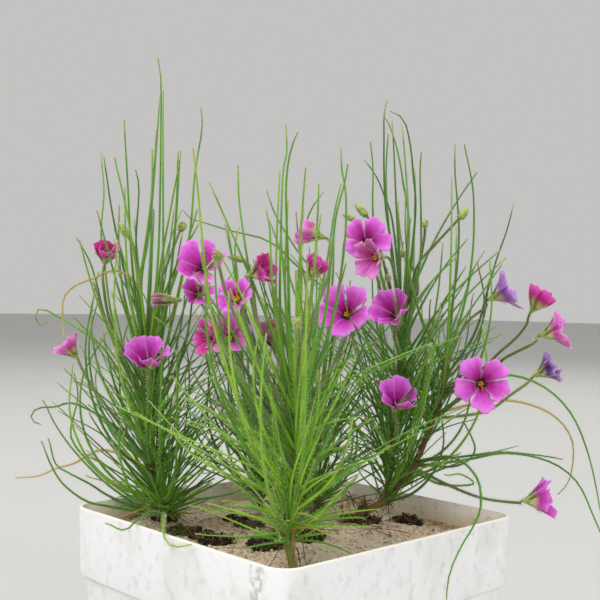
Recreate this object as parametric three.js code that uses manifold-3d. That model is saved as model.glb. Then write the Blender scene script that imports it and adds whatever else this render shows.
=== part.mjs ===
// A rainbow plant, Byblis lamellata, in a square white planter: five leafy plants of thread-like
// leaves and magenta flowers, rooted in sandy soil. Millimetres, +Z up, origin at the middle of the
// planter's foot, planter sides along X and Y.

import * as THREE from 'three';
import Module from 'manifold-3d';
import { mergeVertices } from 'three/addons/utils/BufferGeometryUtils.js';

const wasm = await Module();
wasm.setup();

// Planter, 20 cm across its rim, with a taller band round the rim and a tapering body below it.
const POT = {
  side: 200,
  height: 185,
  corner: 14,
  wall: 2.4,
  rimWall: 2.0,
  rimRound: 0.6,
  bandHeight: 42,
  bandDraft: 0.8,
  bandStep: 2.4,
  stepHeight: 2.6,
  footSide: 166,
  footChamfer: 1.5,
  floor: 3,
  drainRadius: 5,
  drainOffset: 45,
};
const CORNER_STEPS = 4;
const HOLE_SIDES = 12;

// Free gap between touching pieces.
const GAP = 0.3;

// Soil, a little below the rim, with a gently uneven surface: a broad swell and a finer ripple, each
// with the lengths of its waves. Its top is split by smaller and smaller squares.
const SOIL = {
  top: 171,
  swell: { rise: 1.6, x: 31, y: 36, shift: 0.4 },
  ripple: { rise: 0.8, x: [11, 17], y: [14, 9] },
  rings: [0.8, 0.55, 0.28],
  rootDepth: 22,
};

// Leaves are threads, thickest at the root; flower stalks are a little thinner.
const LEAF = { root: 1.3, tip: 0.42, sides: 3 };
const STALK = { root: 1.0, tip: 0.95, sides: 3 };
const THINNING = 1.3;
const BUD_SPLITS = { around: 6, along: 4 };

// A stem stands in the soil on an upright peg, whose top is a little way up, and leans off from
// just above the soil, in shares of its radius. It bears leaves from a little higher.
const STEM = { sides: 6, segments: 9, pegTop: 2, leanFrom: 1.3, bare: 3 };

// A thread has more segments the longer it is and the more it turns, in millimetres and radians.
const SEGMENTS = { length: 90, turn: 0.6, least: 3, most: 10, drawnWithDepth: 9, tests: 16 };

// A flower: five petals joined in a small disc, five pointed sepals joined in one below it that
// stand a little further out than the petals' lower halves, and in an open flower a crown of five
// stamens.
const FLOWER = {
  petals: 5,
  thickness: 0.8,
  discRadius: 2.0,
  cupRadius: 2.8,
  sepalLength: 9,
  sepalLean: 0.12,
  stalkBend: 6,
  openForStamens: 46,
  closedBelow: 25,
};
// A petal is a wedge that stands as a funnel with the others and flares towards its tip: its width
// as a share of its length, the most that half of it turns round the flower, its foot as a share
// of its width and how fast it widens, how far its outer corners are rounded off, its lean at the
// foot and at the tip in degrees, each a fixed part and a share of how far the flower is open, how
// late it flares, and in how many steps its midline is drawn.
const PETAL = {
  width: 0.84,
  halfTurn: 0.58,
  foot: 0.15,
  widening: 0.85,
  rounding: 0.13,
  footLean: [40, -0.1],
  tipLean: [-24.6, 1.68],
  flare: 1.3,
  steps: 24,
};
const STAMENS = { length: 4.5, spread: 2.3, footRadius: 1.3, notchRadius: 0.9 };
// Heights of the flower's discs above the rim of its green cup.
const CALYX_HEIGHT = -FLOWER.thickness / 2;
const COROLLA_HEIGHT = GAP + FLOWER.thickness / 2;
const STAMEN_HEIGHT = GAP + FLOWER.thickness + GAP;

// The view from the planter's near corner in which stems, leaves and flowers are drawn. A place in
// it is x to the right and y down, in 600ths of the picture, and how far away it lies, in
// millimetres behind (or, when negative, in front of) the upright plane through the origin.
const VIEW = {
  eye: new THREE.Vector3(437.8, -412.8, 314.6),
  turn: 46.5,
  lift: -0.3,
  roll: 1.0,
  focal: 950,
  middle: 300,
};

const GOLDEN_TURN = THREE.MathUtils.degToRad(137.508);
const UP = new THREE.Vector3(0, 0, 1);

// How far the tip of a thread lies behind or before its stem: leaves and buds spread both ways, a
// flower's stalk makes most of its way where it was drawn, and the far end moves most. A thread
// that meets another is moved by one of the shifts.
const DEPTH = { leaf: 34, bud: 20, stalk: 0.8, ease: 1.4, shifts: [0, 6, -6, 12, -12, 20, -20, 30, -30] };

// Room that is kept: the radius of the balls that stand for a flower, how near to its root a thread
// may touch its own plant and the soil, how far below a cup its stalk starts to be tested, the
// length between tests along a thread, and the side of a grid cell.
const ROOM = {
  heart: 4.5,
  heartHeight: 4,
  petal: 2,
  petalSteps: 5,
  crowd: 5,
  soil: 6,
  cup: 4.5,
  step: 2,
  cell: 6,
};

// Leaves that are placed by rule, from the foot of the stems to their top: the lean from upright
// and how it grows along the leaf, in radians, with what a random draw adds to each.
const RULE_LEAF = {
  lean: [1.25, 0.3],
  leanDraw: 0.3,
  bend: [-0.5, 0.12],
  bendDraw: 0.2,
  turnDraw: 0.6,
  wander: 0.25,
  sections: 4,
  longestAt: 0.4,
  shorter: 0.25,
  outside: 0.08,
};

// Points nearer than this are one, and a fused edge shorter than this is taken out.
const WELD = 1e-4;
const SHORTEST_EDGE = 0.05;

// Stems, leaves and buds are drawn as [x, y] or [x, y, away] places. A stem runs from the soil to
// its tip, a leaf or bud stalk from its tip to its root, which is moved onto the nearest stem.
const LEFT_PLANT = {
  name: 'plant_left',
  seed: 11,
  stems: [
    {
      radius: 2.3,
      tip: 1.6,
      course: [[165, 522, 21], [160, 495, 20], [152, 455, 18], [149, 400, 16], [147, 338, 14]],
    },
  ],
  leaves: [
    [[158, 58], [161, 80], [161, 120], [160, 200], [158, 260], [152, 340], [150, 450]],
    [[160, 95], [154, 180], [148, 240], [141, 290], [145, 400], [150, 440]],
    [[163, 90], [163, 180], [163, 260], [160, 300], [152, 430]],
    [[157, 130], [150, 210], [143, 260], [138, 300], [147, 425]],
    [[100, 150], [104, 190], [101, 230], [104, 260], [115, 330], [148, 420]],
    [[136, 169], [139, 190], [136, 240], [138, 280], [143, 350], [149, 415]],
    [[77, 238], [90, 262], [97, 285], [110, 330], [149, 405]],
    [
      [48, 322], [41, 327], [35, 318], [38, 309], [48, 311], [80, 330], [105, 350], [125, 385],
      [151, 445],
    ],
    [[201, 108], [202, 130], [195, 172], [189, 239], [170, 330], [150, 425]],
    [[182, 208], [172, 235], [163, 270], [155, 330], [150, 400]],
    [[64, 336], [63, 300], [76, 285], [92, 279], [107, 272], [122, 272], [136, 287], [147, 340]],
    [[118, 274], [126, 287], [134, 303], [147, 345]],
    [[98, 361], [96, 386], [110, 430], [158, 490]],
    [[103, 332], [107, 353], [120, 400], [154, 465]],
    [[44, 400], [55, 424], [76, 453], [107, 484], [142, 507], [164, 514]],
    [[49, 438], [55, 463], [67, 472], [90, 484], [107, 495], [134, 507], [164, 514]],
    [
      [42, 441, -18], [50, 463, -20], [63, 484, -20], [86, 501, -16], [107, 506, -10], [130, 510, 2],
      [165, 516],
    ],
    [[14, 478], [38, 476], [57, 468], [75, 463], [100, 450], [130, 458], [156, 475]],
    [[74, 372], [78, 396], [72, 422], [71, 438], [84, 457], [107, 480], [145, 505], [163, 510]],
    [[42, 424], [32, 421], [31, 415], [38, 408], [55, 407], [76, 404], [120, 430], [155, 470]],
    [[107, 521, -46], [116, 528, -51], [126, 530, -54], [135, 522, -50], [149, 513, -22], [165, 514]],
    [[192, 544, -92], [178, 547, -86], [167, 543, -81], [163, 531, -73], [163, 522, -50], [165, 512]],
    [[246, 487, -20], [236, 492, -14], [221, 496, -8], [198, 500, 0], [166, 512]],
    [[215, 478], [195, 488], [163, 505]],
    [[240, 470, -16], [210, 487, -8], [164, 510]],
    [[196, 418], [183, 440], [172, 462], [158, 488]],
    [[212, 404], [192, 430], [170, 458], [155, 475]],
    [[88, 412], [104, 436], [126, 462], [160, 496]],
    [[178, 150], [176, 210], [170, 280], [160, 350], [150, 395]],
    [[124, 120], [128, 190], [131, 250], [137, 310], [149, 385]],
    [[186, 280], [182, 320], [170, 370], [151, 430]],
    [[118, 452], [134, 474], [162, 500]],
  ],
  buds: [
    { length: 10, radius: 2.9, course: [[124, 230], [128, 237], [134, 248], [139, 290], [148, 345]] },
    { length: 6.6, radius: 3.2, course: [[182, 227], [179, 233], [166, 267], [155, 295], [148, 340]] },
    { length: 6, radius: 2.6, course: [[118, 353], [124, 366], [150, 405]] },
  ],
  fillers: {
    count: 62,
    length: [95, 175],
    envelope: [
      [100, 522], [58, 470], [40, 400], [58, 330], [82, 245], [104, 150], [138, 95], [158, 60],
      [178, 90], [202, 120], [204, 200], [196, 300], [200, 380], [216, 440], [232, 490], [200, 516],
    ],
  },
};

const FRONT_PLANT = {
  name: 'plant_front',
  seed: 23,
  stems: [
    {
      radius: 2.3,
      tip: 1.6,
      course: [[294, 569, -85], [288, 534, -78], [295, 490, -66], [297, 440, -60], [294, 385, -56]],
    },
  ],
  leaves: [
    [[193, 149], [198, 191], [203, 245], [215, 330], [250, 430], [292, 500]],
    [[238, 165], [239, 200], [244, 238], [251, 283], [256, 321], [268, 375], [296, 470]],
    [[286, 126], [287, 153], [283, 172], [281, 230], [280, 300], [284, 360], [296, 440]],
    [[298, 131], [290, 153], [286, 190], [288, 260], [290, 330], [295, 400]],
    [[280, 170], [277, 230], [276, 300], [282, 370], [296, 430]],
    [[288, 200], [285, 276], [288, 340], [295, 410]],
    [[227, 224], [231, 249], [240, 300], [262, 370], [296, 445]],
    [[239, 227], [235, 255], [246, 330], [296, 455]],
    [[319, 183], [317, 226], [311, 300], [295, 390]],
    [[324, 191], [311, 210], [302, 240], [297, 310], [295, 400]],
    [[341, 146], [342, 172], [346, 195], [344, 250], [330, 330], [296, 420]],
    [[348, 163], [344, 186], [336, 216], [331, 262], [322, 330], [296, 410]],
    [[341, 184], [334, 215], [327, 262], [312, 330], [295, 395]],
    [[266, 210], [270, 230], [271, 260], [276, 320], [296, 425]],
    [[184, 419], [200, 425], [218, 431], [236, 441], [257, 449], [294, 478]],
    [[185, 398], [205, 407], [222, 418], [240, 430], [262, 446], [296, 462]],
    [[175, 436], [187, 450], [199, 459], [212, 467], [242, 481], [263, 490], [292, 508]],
    [[206, 372], [222, 392], [246, 424], [296, 468]],
    [[300, 352], [302, 390], [300, 430], [296, 470]],
    [[318, 372], [316, 410], [306, 450], [293, 500]],
    [[332, 392], [330, 425], [318, 460], [293, 505]],
    [[352, 420], [346, 450], [328, 484], [291, 515]],
    [[358, 476], [344, 492], [322, 510], [290, 524]],
    [[236, 388], [250, 420], [272, 460], [291, 515]],
    [[222, 500], [244, 504], [268, 512], [289, 528]],
    [[262, 380], [272, 420], [284, 470], [290, 520]],
    [[330, 536, -96], [318, 530, -92], [304, 527, -86], [289, 530]],
    [[216, 455], [240, 468], [266, 488], [290, 518]],
  ],
  buds: [
    { length: 7, radius: 2.9, course: [[218, 256], [219, 266], [236, 318], [295, 430]] },
    {
      length: 10.5, radius: 2.1,
      course: [[237, 258.5], [244, 260], [249, 266], [253, 290], [262, 340], [295, 410]],
    },
    { length: 6, radius: 2.6, course: [[297, 323], [300, 345], [295, 392]] },
  ],
  fillers: {
    count: 60,
    length: [90, 175],
    envelope: [
      [262, 548], [216, 484], [182, 436], [180, 392], [200, 300], [204, 200], [240, 170], [286, 130],
      [342, 150], [350, 230], [340, 330], [348, 420], [352, 490], [322, 548],
    ],
  },
};

const RIGHT_PLANT = {
  name: 'plant_right',
  seed: 37,
  stems: [
    {
      radius: 2.7,
      tip: 1.6,
      course: [
        [341, 523, 27], [366, 511, 34], [388, 498, 40], [413, 466, 45], [430, 428, 44], [442, 392, 42],
        [446, 356, 40],
      ],
    },
    {
      radius: 2.0,
      tip: 1.9,
      course: [[388, 499, 40], [390, 470, 40], [394, 430, 40], [399, 370, 40], [403, 312, 40]],
    },
  ],
  leaves: [
    [[387, 101], [384, 115], [384, 134], [384, 172], [386, 210], [392, 250], [402, 330]],
    [[384, 115], [390, 126], [398, 153], [403, 182], [409, 230], [404, 325]],
    [[390, 111], [399, 115], [405, 122], [410, 143], [413, 172], [415, 220], [404, 340]],
    [[392, 122], [394, 153], [396, 200], [399, 260], [402, 345]],
    [[402, 123], [405, 160], [408, 210], [406, 270], [402, 350]],
    [[421, 151], [420, 178], [421, 220], [419, 268], [401, 360]],
    [[415, 168], [415, 200], [413, 250], [401, 355]],
    [[388, 134], [386, 180], [390, 240], [401, 335]],
    [[370, 142], [373, 168], [373, 216], [380, 270], [400, 350]],
    [[364, 159], [376, 176], [384, 195], [393, 225], [402, 320]],
    [[267, 191], [275, 214], [291, 241], [306, 262], [340, 300], [399, 372]],
    [
      [183, 210], [192, 220], [203, 222], [221, 228], [240, 233], [262, 238], [279, 248], [296, 265],
      [322, 286], [362, 316], [400, 362],
    ],
    [[455, 144], [455, 172], [458, 210], [459, 235], [457, 268], [453, 300], [446, 362]],
    [[464, 144], [472, 182], [474, 210], [473, 249], [468, 287], [460, 320], [445, 368]],
    [[514, 202], [507, 230], [497, 258], [488, 289], [474, 335], [444, 378]],
    [
      [445, 604, -68], [450, 572, -68], [462, 545, -64], [473, 527, -54], [481, 505, -38],
      [476, 476, -20], [452, 457, 14], [418, 462],
    ],
    [[562, 459], [536, 455], [500, 452], [468, 456], [418, 464]],
    [
      [606, 545, -6], [595, 520, -2], [577, 482, 4], [548, 461, 12], [505, 453, 22], [465, 460, 34],
      [416, 468],
    ],
    [
      [604, 530, 52], [600, 508, 54], [590, 460, 54], [575, 420, 52], [555, 395, 50], [530, 380, 48],
      [500, 376, 44], [441, 396],
    ],
    [[558, 495], [570, 478], [572, 440], [548, 412], [500, 400], [436, 412]],
    [[463, 420], [475, 450], [456, 466], [416, 466]],
    [[445, 477], [460, 474], [474, 484], [440, 484], [412, 470]],
    [[472, 305], [462, 330], [446, 372]],
    [[352, 340], [362, 372], [380, 420], [392, 455]],
    [[430, 300], [428, 340], [420, 390], [396, 425]],
    [[366, 402], [372, 430], [384, 462], [390, 480]],
    [[432, 352], [424, 392], [410, 430], [394, 448]],
  ],
  buds: [
    { length: 12, radius: 3.0, course: [[361.5, 210.5], [369, 219], [379, 245], [390, 290], [401, 340]] },
    { length: 9, radius: 3.2, course: [[463, 214], [456, 222], [433, 247], [416, 270], [402, 338]] },
    { length: 5, radius: 2.4, course: [[425, 224], [424, 240], [416, 280], [402, 330]] },
    {
      length: 8.5, radius: 2.8,
      course: [[401, 252.5], [407, 256], [412, 267], [418, 284], [414, 308], [402, 340]],
    },
    { length: 5, radius: 2.2, course: [[388, 278], [391, 292], [401, 336]] },
    { length: 8, radius: 2.2, course: [[349, 217.5], [357, 221], [364, 232], [381, 275], [401, 345]] },
  ],
  fillers: {
    count: 74,
    length: [80, 165],
    envelope: [
      [384, 502], [362, 420], [346, 320], [352, 230], [368, 160], [388, 106], [414, 140], [430, 200],
      [452, 150], [474, 170], [492, 230], [500, 300], [500, 380], [540, 430], [548, 470], [470, 490],
      [420, 506],
    ],
  },
};

const REAR_PLANT = {
  name: 'plant_rear',
  seed: 41,
  stems: [
    {
      radius: 2.2,
      tip: 1.6,
      course: [[312, 511, 52], [314, 474, 52], [318, 430, 53], [321, 392, 54]],
    },
  ],
  leaves: [
    [[296, 212], [300, 254], [308, 300], [321, 400]],
    [[334, 232], [332, 290], [322, 398]],
    [[262, 300], [280, 350], [319, 425]],
    [[356, 300], [350, 350], [321, 410]],
    [[368, 372], [352, 410], [316, 448]],
    [[372, 462], [350, 474], [313, 488]],
  ],
  buds: [],
  fillers: {
    count: 52,
    length: [85, 165],
    envelope: [
      [240, 510], [216, 440], [208, 380], [226, 290], [262, 200], [300, 176], [344, 184], [362, 260],
      [372, 380], [376, 470], [352, 514],
    ],
  },
};

const LEFT_REAR_PLANT = {
  name: 'plant_left_rear',
  seed: 53,
  stems: [
    {
      radius: 2.1,
      tip: 1.5,
      course: [[262, 504, 60], [258, 470, 60], [252, 432, 61], [250, 405, 62]],
    },
  ],
  leaves: [
    [[196, 382], [210, 398], [232, 428], [254, 446]],
    [[206, 330], [220, 362], [240, 404], [252, 432]],
    [[236, 300], [240, 350], [250, 415]],
    [[190, 452], [214, 462], [256, 476]],
  ],
  buds: [],
  fillers: {
    count: 36,
    length: [70, 130],
    envelope: [
      [236, 510], [192, 478], [184, 410], [192, 330], [226, 262], [262, 300], [288, 380], [300, 450],
      [292, 508],
    ],
  },
};

const PLANTS = [LEFT_PLANT, FRONT_PLANT, RIGHT_PLANT, REAR_PLANT, LEFT_REAR_PLANT];

// Flowers: the middle of each in the view and how far away it lies, the way it faces (to the right,
// up, towards the eye), how far its petals open in degrees, the petal's length, the plant that
// bears it and the places its stalk passes on the way to the stem. Some have the way that one
// petal points, in degrees anticlockwise from the right, or, where wilted narrow, the petals' lean
// at the foot and at the tip.
const BLOOMS = [
  {
    at: [107, 252], away: 4, face: [0.25, 0.72, 0.6], open: 15, petal: 13,
    plant: 'plant_left', stalk: [[103, 282], [113, 330], [149, 392]],
  },
  {
    at: [68, 347], away: 28, face: [-0.6, 0.77, 0.2], open: 34, petal: 13,
    plant: 'plant_left', stalk: [[81, 367], [102, 400], [155, 470]],
  },
  {
    at: [147.5, 356], away: -16, face: [0.05, 0.76, 0.65], open: 44, petal: 19.5, points: -85,
    plant: 'plant_left', stalk: [[148, 380], [149, 412]], leans: [46, 18],
  },
  {
    at: [201.5, 264], away: -50, face: [-0.1, 0.5, 0.85], open: 45, petal: 19, points: 130,
    plant: 'plant_front', stalk: [[208, 300], [236, 370], [295, 452]], leans: [50, 40],
  },
  {
    at: [199, 292], away: -24, face: [0.1, 0.4, 0.9], open: 44, petal: 12.5,
    plant: 'plant_front', stalk: [[210, 318], [248, 390], [295, 462]], leans: [50, 40],
  },
  {
    at: [234.6, 296.4], away: -64, face: [-0.35, 0.4, 0.85], open: 58, petal: 14.5, points: -20,
    plant: 'plant_front', stalk: [[242, 320], [260, 380], [296, 440]],
  },
  {
    at: [208, 337], away: -74, face: [-0.8, 0.15, 0.55], open: 45, petal: 14,
    plant: 'plant_front', stalk: [[222, 348], [256, 400], [295, 470]],
  },
  {
    at: [229.4, 335], away: -42, face: [0, 0.45, 0.9], open: 58, petal: 17, points: 90,
    plant: 'plant_front', stalk: [[238, 356], [262, 400], [296, 455]],
  },
  {
    at: [263, 270], away: -62, face: [0.85, 0.35, 0.4], open: 30, petal: 14,
    plant: 'plant_front', stalk: [[248, 284], [262, 340], [295, 415]],
  },
  {
    at: [307, 232.5], away: -44, face: [-0.95, 0.25, 0.15], open: 12, petal: 14,
    plant: 'plant_front', stalk: [[331, 245], [327, 280], [300, 350], [295, 395]],
  },
  {
    at: [316, 266], away: -64, face: [0.5, 0.83, 0.2], open: 14, petal: 12,
    plant: 'plant_front', stalk: [[307, 292], [302, 340], [295, 400]],
  },
  {
    at: [367, 241], away: 16, face: [0, 0.15, 1], open: 66, petal: 19.5, points: 68,
    plant: 'plant_right', stalk: [[374, 266], [386, 310], [401, 350]],
  },
  {
    at: [371, 258], away: -14, face: [-0.8, -0.1, 0.6], open: 56, petal: 16.5,
    plant: 'plant_right', stalk: [[392, 264], [399, 300], [402, 340]],
  },
  {
    at: [344.6, 311.5], away: -24, face: [-0.3, 0.35, 0.9], open: 68, petal: 21.5, points: -21,
    plant: 'plant_front', stalk: [[343, 345], [322, 385], [297, 430]],
  },
  {
    at: [391.5, 311], away: -4, face: [-0.5, 0.5, 0.7], open: 44, petal: 19, points: 180,
    plant: 'plant_right', stalk: [[394, 334], [398, 352], [399, 375]], leans: [46, 34],
  },
  {
    at: [398, 398], away: 4, face: [0.1, 0.76, 0.65], open: 44, petal: 19.5, points: -83,
    plant: 'plant_right', stalk: [[397, 422], [396, 440], [393, 455]], leans: [46, 16],
  },
  {
    at: [482.5, 384], away: -4, face: [0, 0.05, 1], open: 76, petal: 22, points: -18.5,
    plant: 'plant_right', stalk: [[474, 390], [456, 402], [433, 422]],
  },
  {
    at: [505, 292], away: 48, face: [0.87, 0.45, 0.25], open: 60, petal: 20.5,
    plant: 'plant_right', stalk: [[486, 307], [466, 324], [445, 364]],
  },
  {
    at: [540, 299], away: 34, face: [0.54, 0.84, 0.1], open: 17, petal: 16,
    plant: 'plant_right', stalk: [[527, 324], [516, 338], [500, 352], [478, 372], [443, 388]],
    leans: [48, -6],
  },
  {
    at: [557, 331], away: 6, face: [0.9, 0.3, 0.3], open: 52, petal: 18,
    plant: 'plant_right', stalk: [[534, 343], [505, 358], [486, 374], [442, 392]],
  },
  {
    at: [549, 369], away: 24, face: [0.8, 0.45, 0.3], open: 30, petal: 14,
    plant: 'plant_right', stalk: [[530, 381], [512, 394], [484, 412], [433, 420]],
  },
  {
    at: [542, 499], away: 12, face: [0.97, 0.15, 0.15], open: 32, petal: 19,
    plant: 'plant_right', stalk: [[520, 503], [482, 498], [446, 484], [414, 468]],
  },
  {
    at: [160, 299.5], away: -22, face: [-1, 0.03, 0.1], open: 8, petal: 12.5, leans: [11, -5],
    plant: 'plant_left', stalk: [[176, 302], [170, 318], [148, 345]],
  },
  {
    at: [271.5, 333], away: -24, face: [-0.15, 0.85, 0.45], open: 26, petal: 17, leans: [24, 18],
    plant: 'plant_front', stalk: [[280, 364], [287, 395], [296, 430]],
  },
];

const COLOURS = {
  pot: { color: 0xe9e7e1, roughness: 0.45, metalness: 0 },
  soil: { color: 0x9a8163, roughness: 0.95, metalness: 0 },
  leaf: { color: 0x5f9a35, roughness: 0.5, metalness: 0 },
  petal: { color: 0xc22c8e, roughness: 0.55, metalness: 0 },
  stamen: { color: 0xe8b52a, roughness: 0.6, metalness: 0 },
};

function seededRandom(seed) {
  let state = seed >>> 0;
  return () => {
    state = (state + 0x6d2b79f5) >>> 0;
    let mixed = Math.imul(state ^ (state >>> 15), 1 | state);
    mixed = (mixed + Math.imul(mixed ^ (mixed >>> 7), 61 | mixed)) ^ mixed;
    return ((mixed ^ (mixed >>> 14)) >>> 0) / 4294967296;
  };
}

// View directions as unit vectors: to the right, and straight away from the eye, both level.
const viewTurn = THREE.MathUtils.degToRad(VIEW.turn);
const ACROSS = new THREE.Vector3(Math.cos(viewTurn), Math.sin(viewTurn), 0);
const AWAY = new THREE.Vector3(-Math.sin(viewTurn), Math.cos(viewTurn), 0);

const viewAxes = (() => {
  const lift = THREE.MathUtils.degToRad(VIEW.lift);
  const roll = THREE.MathUtils.degToRad(VIEW.roll);
  const forward = AWAY.clone().multiplyScalar(Math.cos(lift)).addScaledVector(UP, -Math.sin(lift));
  const above = ACROSS.clone().cross(forward);
  const right = ACROSS.clone().multiplyScalar(Math.cos(roll)).addScaledVector(above, Math.sin(roll));
  const top = above.multiplyScalar(Math.cos(roll)).addScaledVector(ACROSS, -Math.sin(roll));
  return { forward, right, top };
})();

// The place in the model at (x, y) of the view, `away` behind the plane through the origin.
function fromView(x, y, away) {
  const ray = viewAxes.forward.clone();
  ray.addScaledVector(viewAxes.right, (x - VIEW.middle) / VIEW.focal);
  ray.addScaledVector(viewAxes.top, (VIEW.middle - y) / VIEW.focal);
  const reach = (away - VIEW.eye.dot(AWAY)) / ray.dot(AWAY);
  return VIEW.eye.clone().addScaledVector(ray, reach);
}

function toView(point) {
  const offset = point.clone().sub(VIEW.eye);
  const depth = offset.dot(viewAxes.forward);
  const x = VIEW.middle + (VIEW.focal * offset.dot(viewAxes.right)) / depth;
  const y = VIEW.middle - (VIEW.focal * offset.dot(viewAxes.top)) / depth;
  return [x, y];
}

function solidFrom(geometry) {
  geometry.deleteAttribute('normal');
  geometry.deleteAttribute('uv');
  const merged = mergeVertices(geometry, WELD);
  const mesh = new wasm.Mesh({
    numProp: 3,
    vertProperties: new Float32Array(merged.attributes.position.array),
    triVerts: new Uint32Array(merged.index.array),
  });
  return new wasm.Manifold(mesh);
}

// Several solids as one body; a scrap that hangs free of the largest piece is dropped.
function fuse(solids) {
  const pieces = wasm.Manifold.union(solids).simplify(SHORTEST_EDGE).decompose();
  pieces.sort((a, b) => b.volume() - a.volume());
  return pieces[0];
}

function meshFrom(name, solid, colour) {
  const data = solid.getMesh();
  const geometry = new THREE.BufferGeometry();
  geometry.setAttribute('position', new THREE.BufferAttribute(data.vertProperties, 3));
  geometry.setIndex(new THREE.BufferAttribute(data.triVerts, 1));
  geometry.computeVertexNormals();
  const mesh = new THREE.Mesh(geometry, new THREE.MeshStandardMaterial(COLOURS[colour]));
  mesh.name = name;
  return mesh;
}

// A closed solid through rings of equal count, with its first and last ring filled to a centre.
function loft(rings, firstCentre, lastCentre) {
  const count = rings[0].length;
  const points = rings.flat();
  const firstIndex = points.length;
  points.push(firstCentre, lastCentre);
  const faces = [];
  for (let i = 0; i < count; i += 1) {
    const next = (i + 1) % count;
    for (let ring = 0; ring < rings.length - 1; ring += 1) {
      const low = ring * count;
      const high = low + count;
      faces.push(low + i, low + next, high + next, low + i, high + next, high + i);
    }
    const last = (rings.length - 1) * count;
    faces.push(next, i, firstIndex, last + i, last + next, firstIndex + 1);
  }
  const geometry = new THREE.BufferGeometry().setFromPoints(points);
  geometry.setIndex(faces);
  return solidFrom(geometry);
}

// One level ring of a square with rounded corners, anticlockwise seen from above.
function squareRing(half, corner, z) {
  const ring = [];
  for (let side = 0; side < 4; side += 1) {
    const start = (side * Math.PI) / 2;
    const centre = new THREE.Vector2(half - corner, half - corner);
    centre.rotateAround(new THREE.Vector2(), start);
    for (let step = 0; step <= CORNER_STEPS; step += 1) {
      const angle = start + (step / CORNER_STEPS) * (Math.PI / 2);
      const x = centre.x + corner * Math.cos(angle);
      const y = centre.y + corner * Math.sin(angle);
      ring.push(new THREE.Vector3(x, y, z));
    }
  }
  return ring;
}

// Outer half widths of the planter from foot to rim, and inner ones from rim to floor.
const BAND_FOOT = POT.height - POT.bandHeight;
const OUTER_PROFILE = [
  [0, POT.footSide / 2 - POT.footChamfer],
  [POT.footChamfer, POT.footSide / 2],
  [BAND_FOOT - POT.stepHeight, POT.side / 2 - POT.bandDraft - POT.bandStep],
  [BAND_FOOT, POT.side / 2 - POT.bandDraft],
  [POT.height - POT.rimRound, POT.side / 2],
  [POT.height, POT.side / 2 - POT.rimRound],
];
const INNER_PROFILE = [
  [POT.height, POT.side / 2 - POT.rimWall],
  [BAND_FOOT - POT.rimRound, POT.side / 2 - POT.bandDraft - POT.wall],
  [BAND_FOOT - POT.stepHeight - POT.rimRound, POT.side / 2 - POT.bandDraft - POT.bandStep - POT.wall],
  [POT.floor, POT.footSide / 2 - POT.wall],
];

function widthAt(profile, z) {
  const rising = [...profile].sort((a, b) => a[0] - b[0]);
  let index = rising.findIndex(([height]) => height >= z);
  index = index < 0 ? rising.length - 1 : Math.max(1, index);
  const [lowZ, lowHalf] = rising[index - 1];
  const [highZ, highHalf] = rising[index];
  const share = THREE.MathUtils.clamp((z - lowZ) / (highZ - lowZ), 0, 1);
  return THREE.MathUtils.lerp(lowHalf, highHalf, share);
}

// The half width of the rounded square that passes through (x, y).
function squareReach(x, y) {
  const wide = Math.max(Math.abs(x), Math.abs(y));
  const narrow = Math.min(Math.abs(x), Math.abs(y));
  if (narrow <= wide - POT.corner) return wide;
  const bend = Math.sqrt(2 * POT.corner ** 2 - (wide - narrow) ** 2);
  return (wide + narrow - bend) / 2 + POT.corner;
}

function soilHeight(x, y) {
  const { swell, ripple } = SOIL;
  const broad = Math.sin(x / swell.x + swell.shift) * Math.cos(y / swell.y);
  const fine = Math.sin(x / ripple.x[0] + y / ripple.y[0]) * Math.cos(x / ripple.x[1] - y / ripple.y[1]);
  return SOIL.top + swell.rise * broad + ripple.rise * fine;
}

function buildPot() {
  const rings = [...OUTER_PROFILE, ...INNER_PROFILE].map(([z, half], index) => {
    const inside = index >= OUTER_PROFILE.length;
    return squareRing(half, inside ? POT.corner - POT.wall : POT.corner, z);
  });
  const shell = loft(rings, new THREE.Vector3(0, 0, 0), new THREE.Vector3(0, 0, POT.floor));
  const drains = [];
  for (const x of [-POT.drainOffset, POT.drainOffset]) {
    for (const y of [-POT.drainOffset, POT.drainOffset]) {
      const drain = new THREE.CylinderGeometry(POT.drainRadius, POT.drainRadius, POT.floor * 3, HOLE_SIDES);
      drain.rotateX(Math.PI / 2).translate(x, y, 0);
      drains.push(solidFrom(drain));
    }
  }
  return meshFrom('pot', shell.subtract(wasm.Manifold.union(drains)), 'pot');
}

function buildSoil(stemFeet) {
  const corner = POT.corner - POT.wall - GAP;
  const sides = INNER_PROFILE.filter(([z]) => z < SOIL.top).reverse();
  const rings = sides.map(([z, half]) => squareRing(half - GAP, corner, z === POT.floor ? z + GAP : z));
  const topHalf = widthAt(INNER_PROFILE, SOIL.top) - GAP;
  for (const share of [1, ...SOIL.rings]) {
    const ring = squareRing(topHalf * share, corner * share, 0);
    ring.forEach((point) => point.setZ(soilHeight(point.x, point.y)));
    rings.push(ring);
  }
  const bottom = new THREE.Vector3(0, 0, POT.floor + GAP);
  const top = new THREE.Vector3(0, 0, soilHeight(0, 0));
  const holes = stemFeet.map(({ foot, radius }) => {
    const depth = SOIL.rootDepth + GAP;
    const hole = new THREE.CylinderGeometry(radius + GAP, radius + GAP, depth * 2, HOLE_SIDES);
    hole.rotateX(Math.PI / 2).translate(foot.x, foot.y, foot.z);
    return solidFrom(hole);
  });
  return meshFrom('soil', loft(rings, bottom, top).subtract(wasm.Manifold.union(holes)), 'soil');
}

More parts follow.
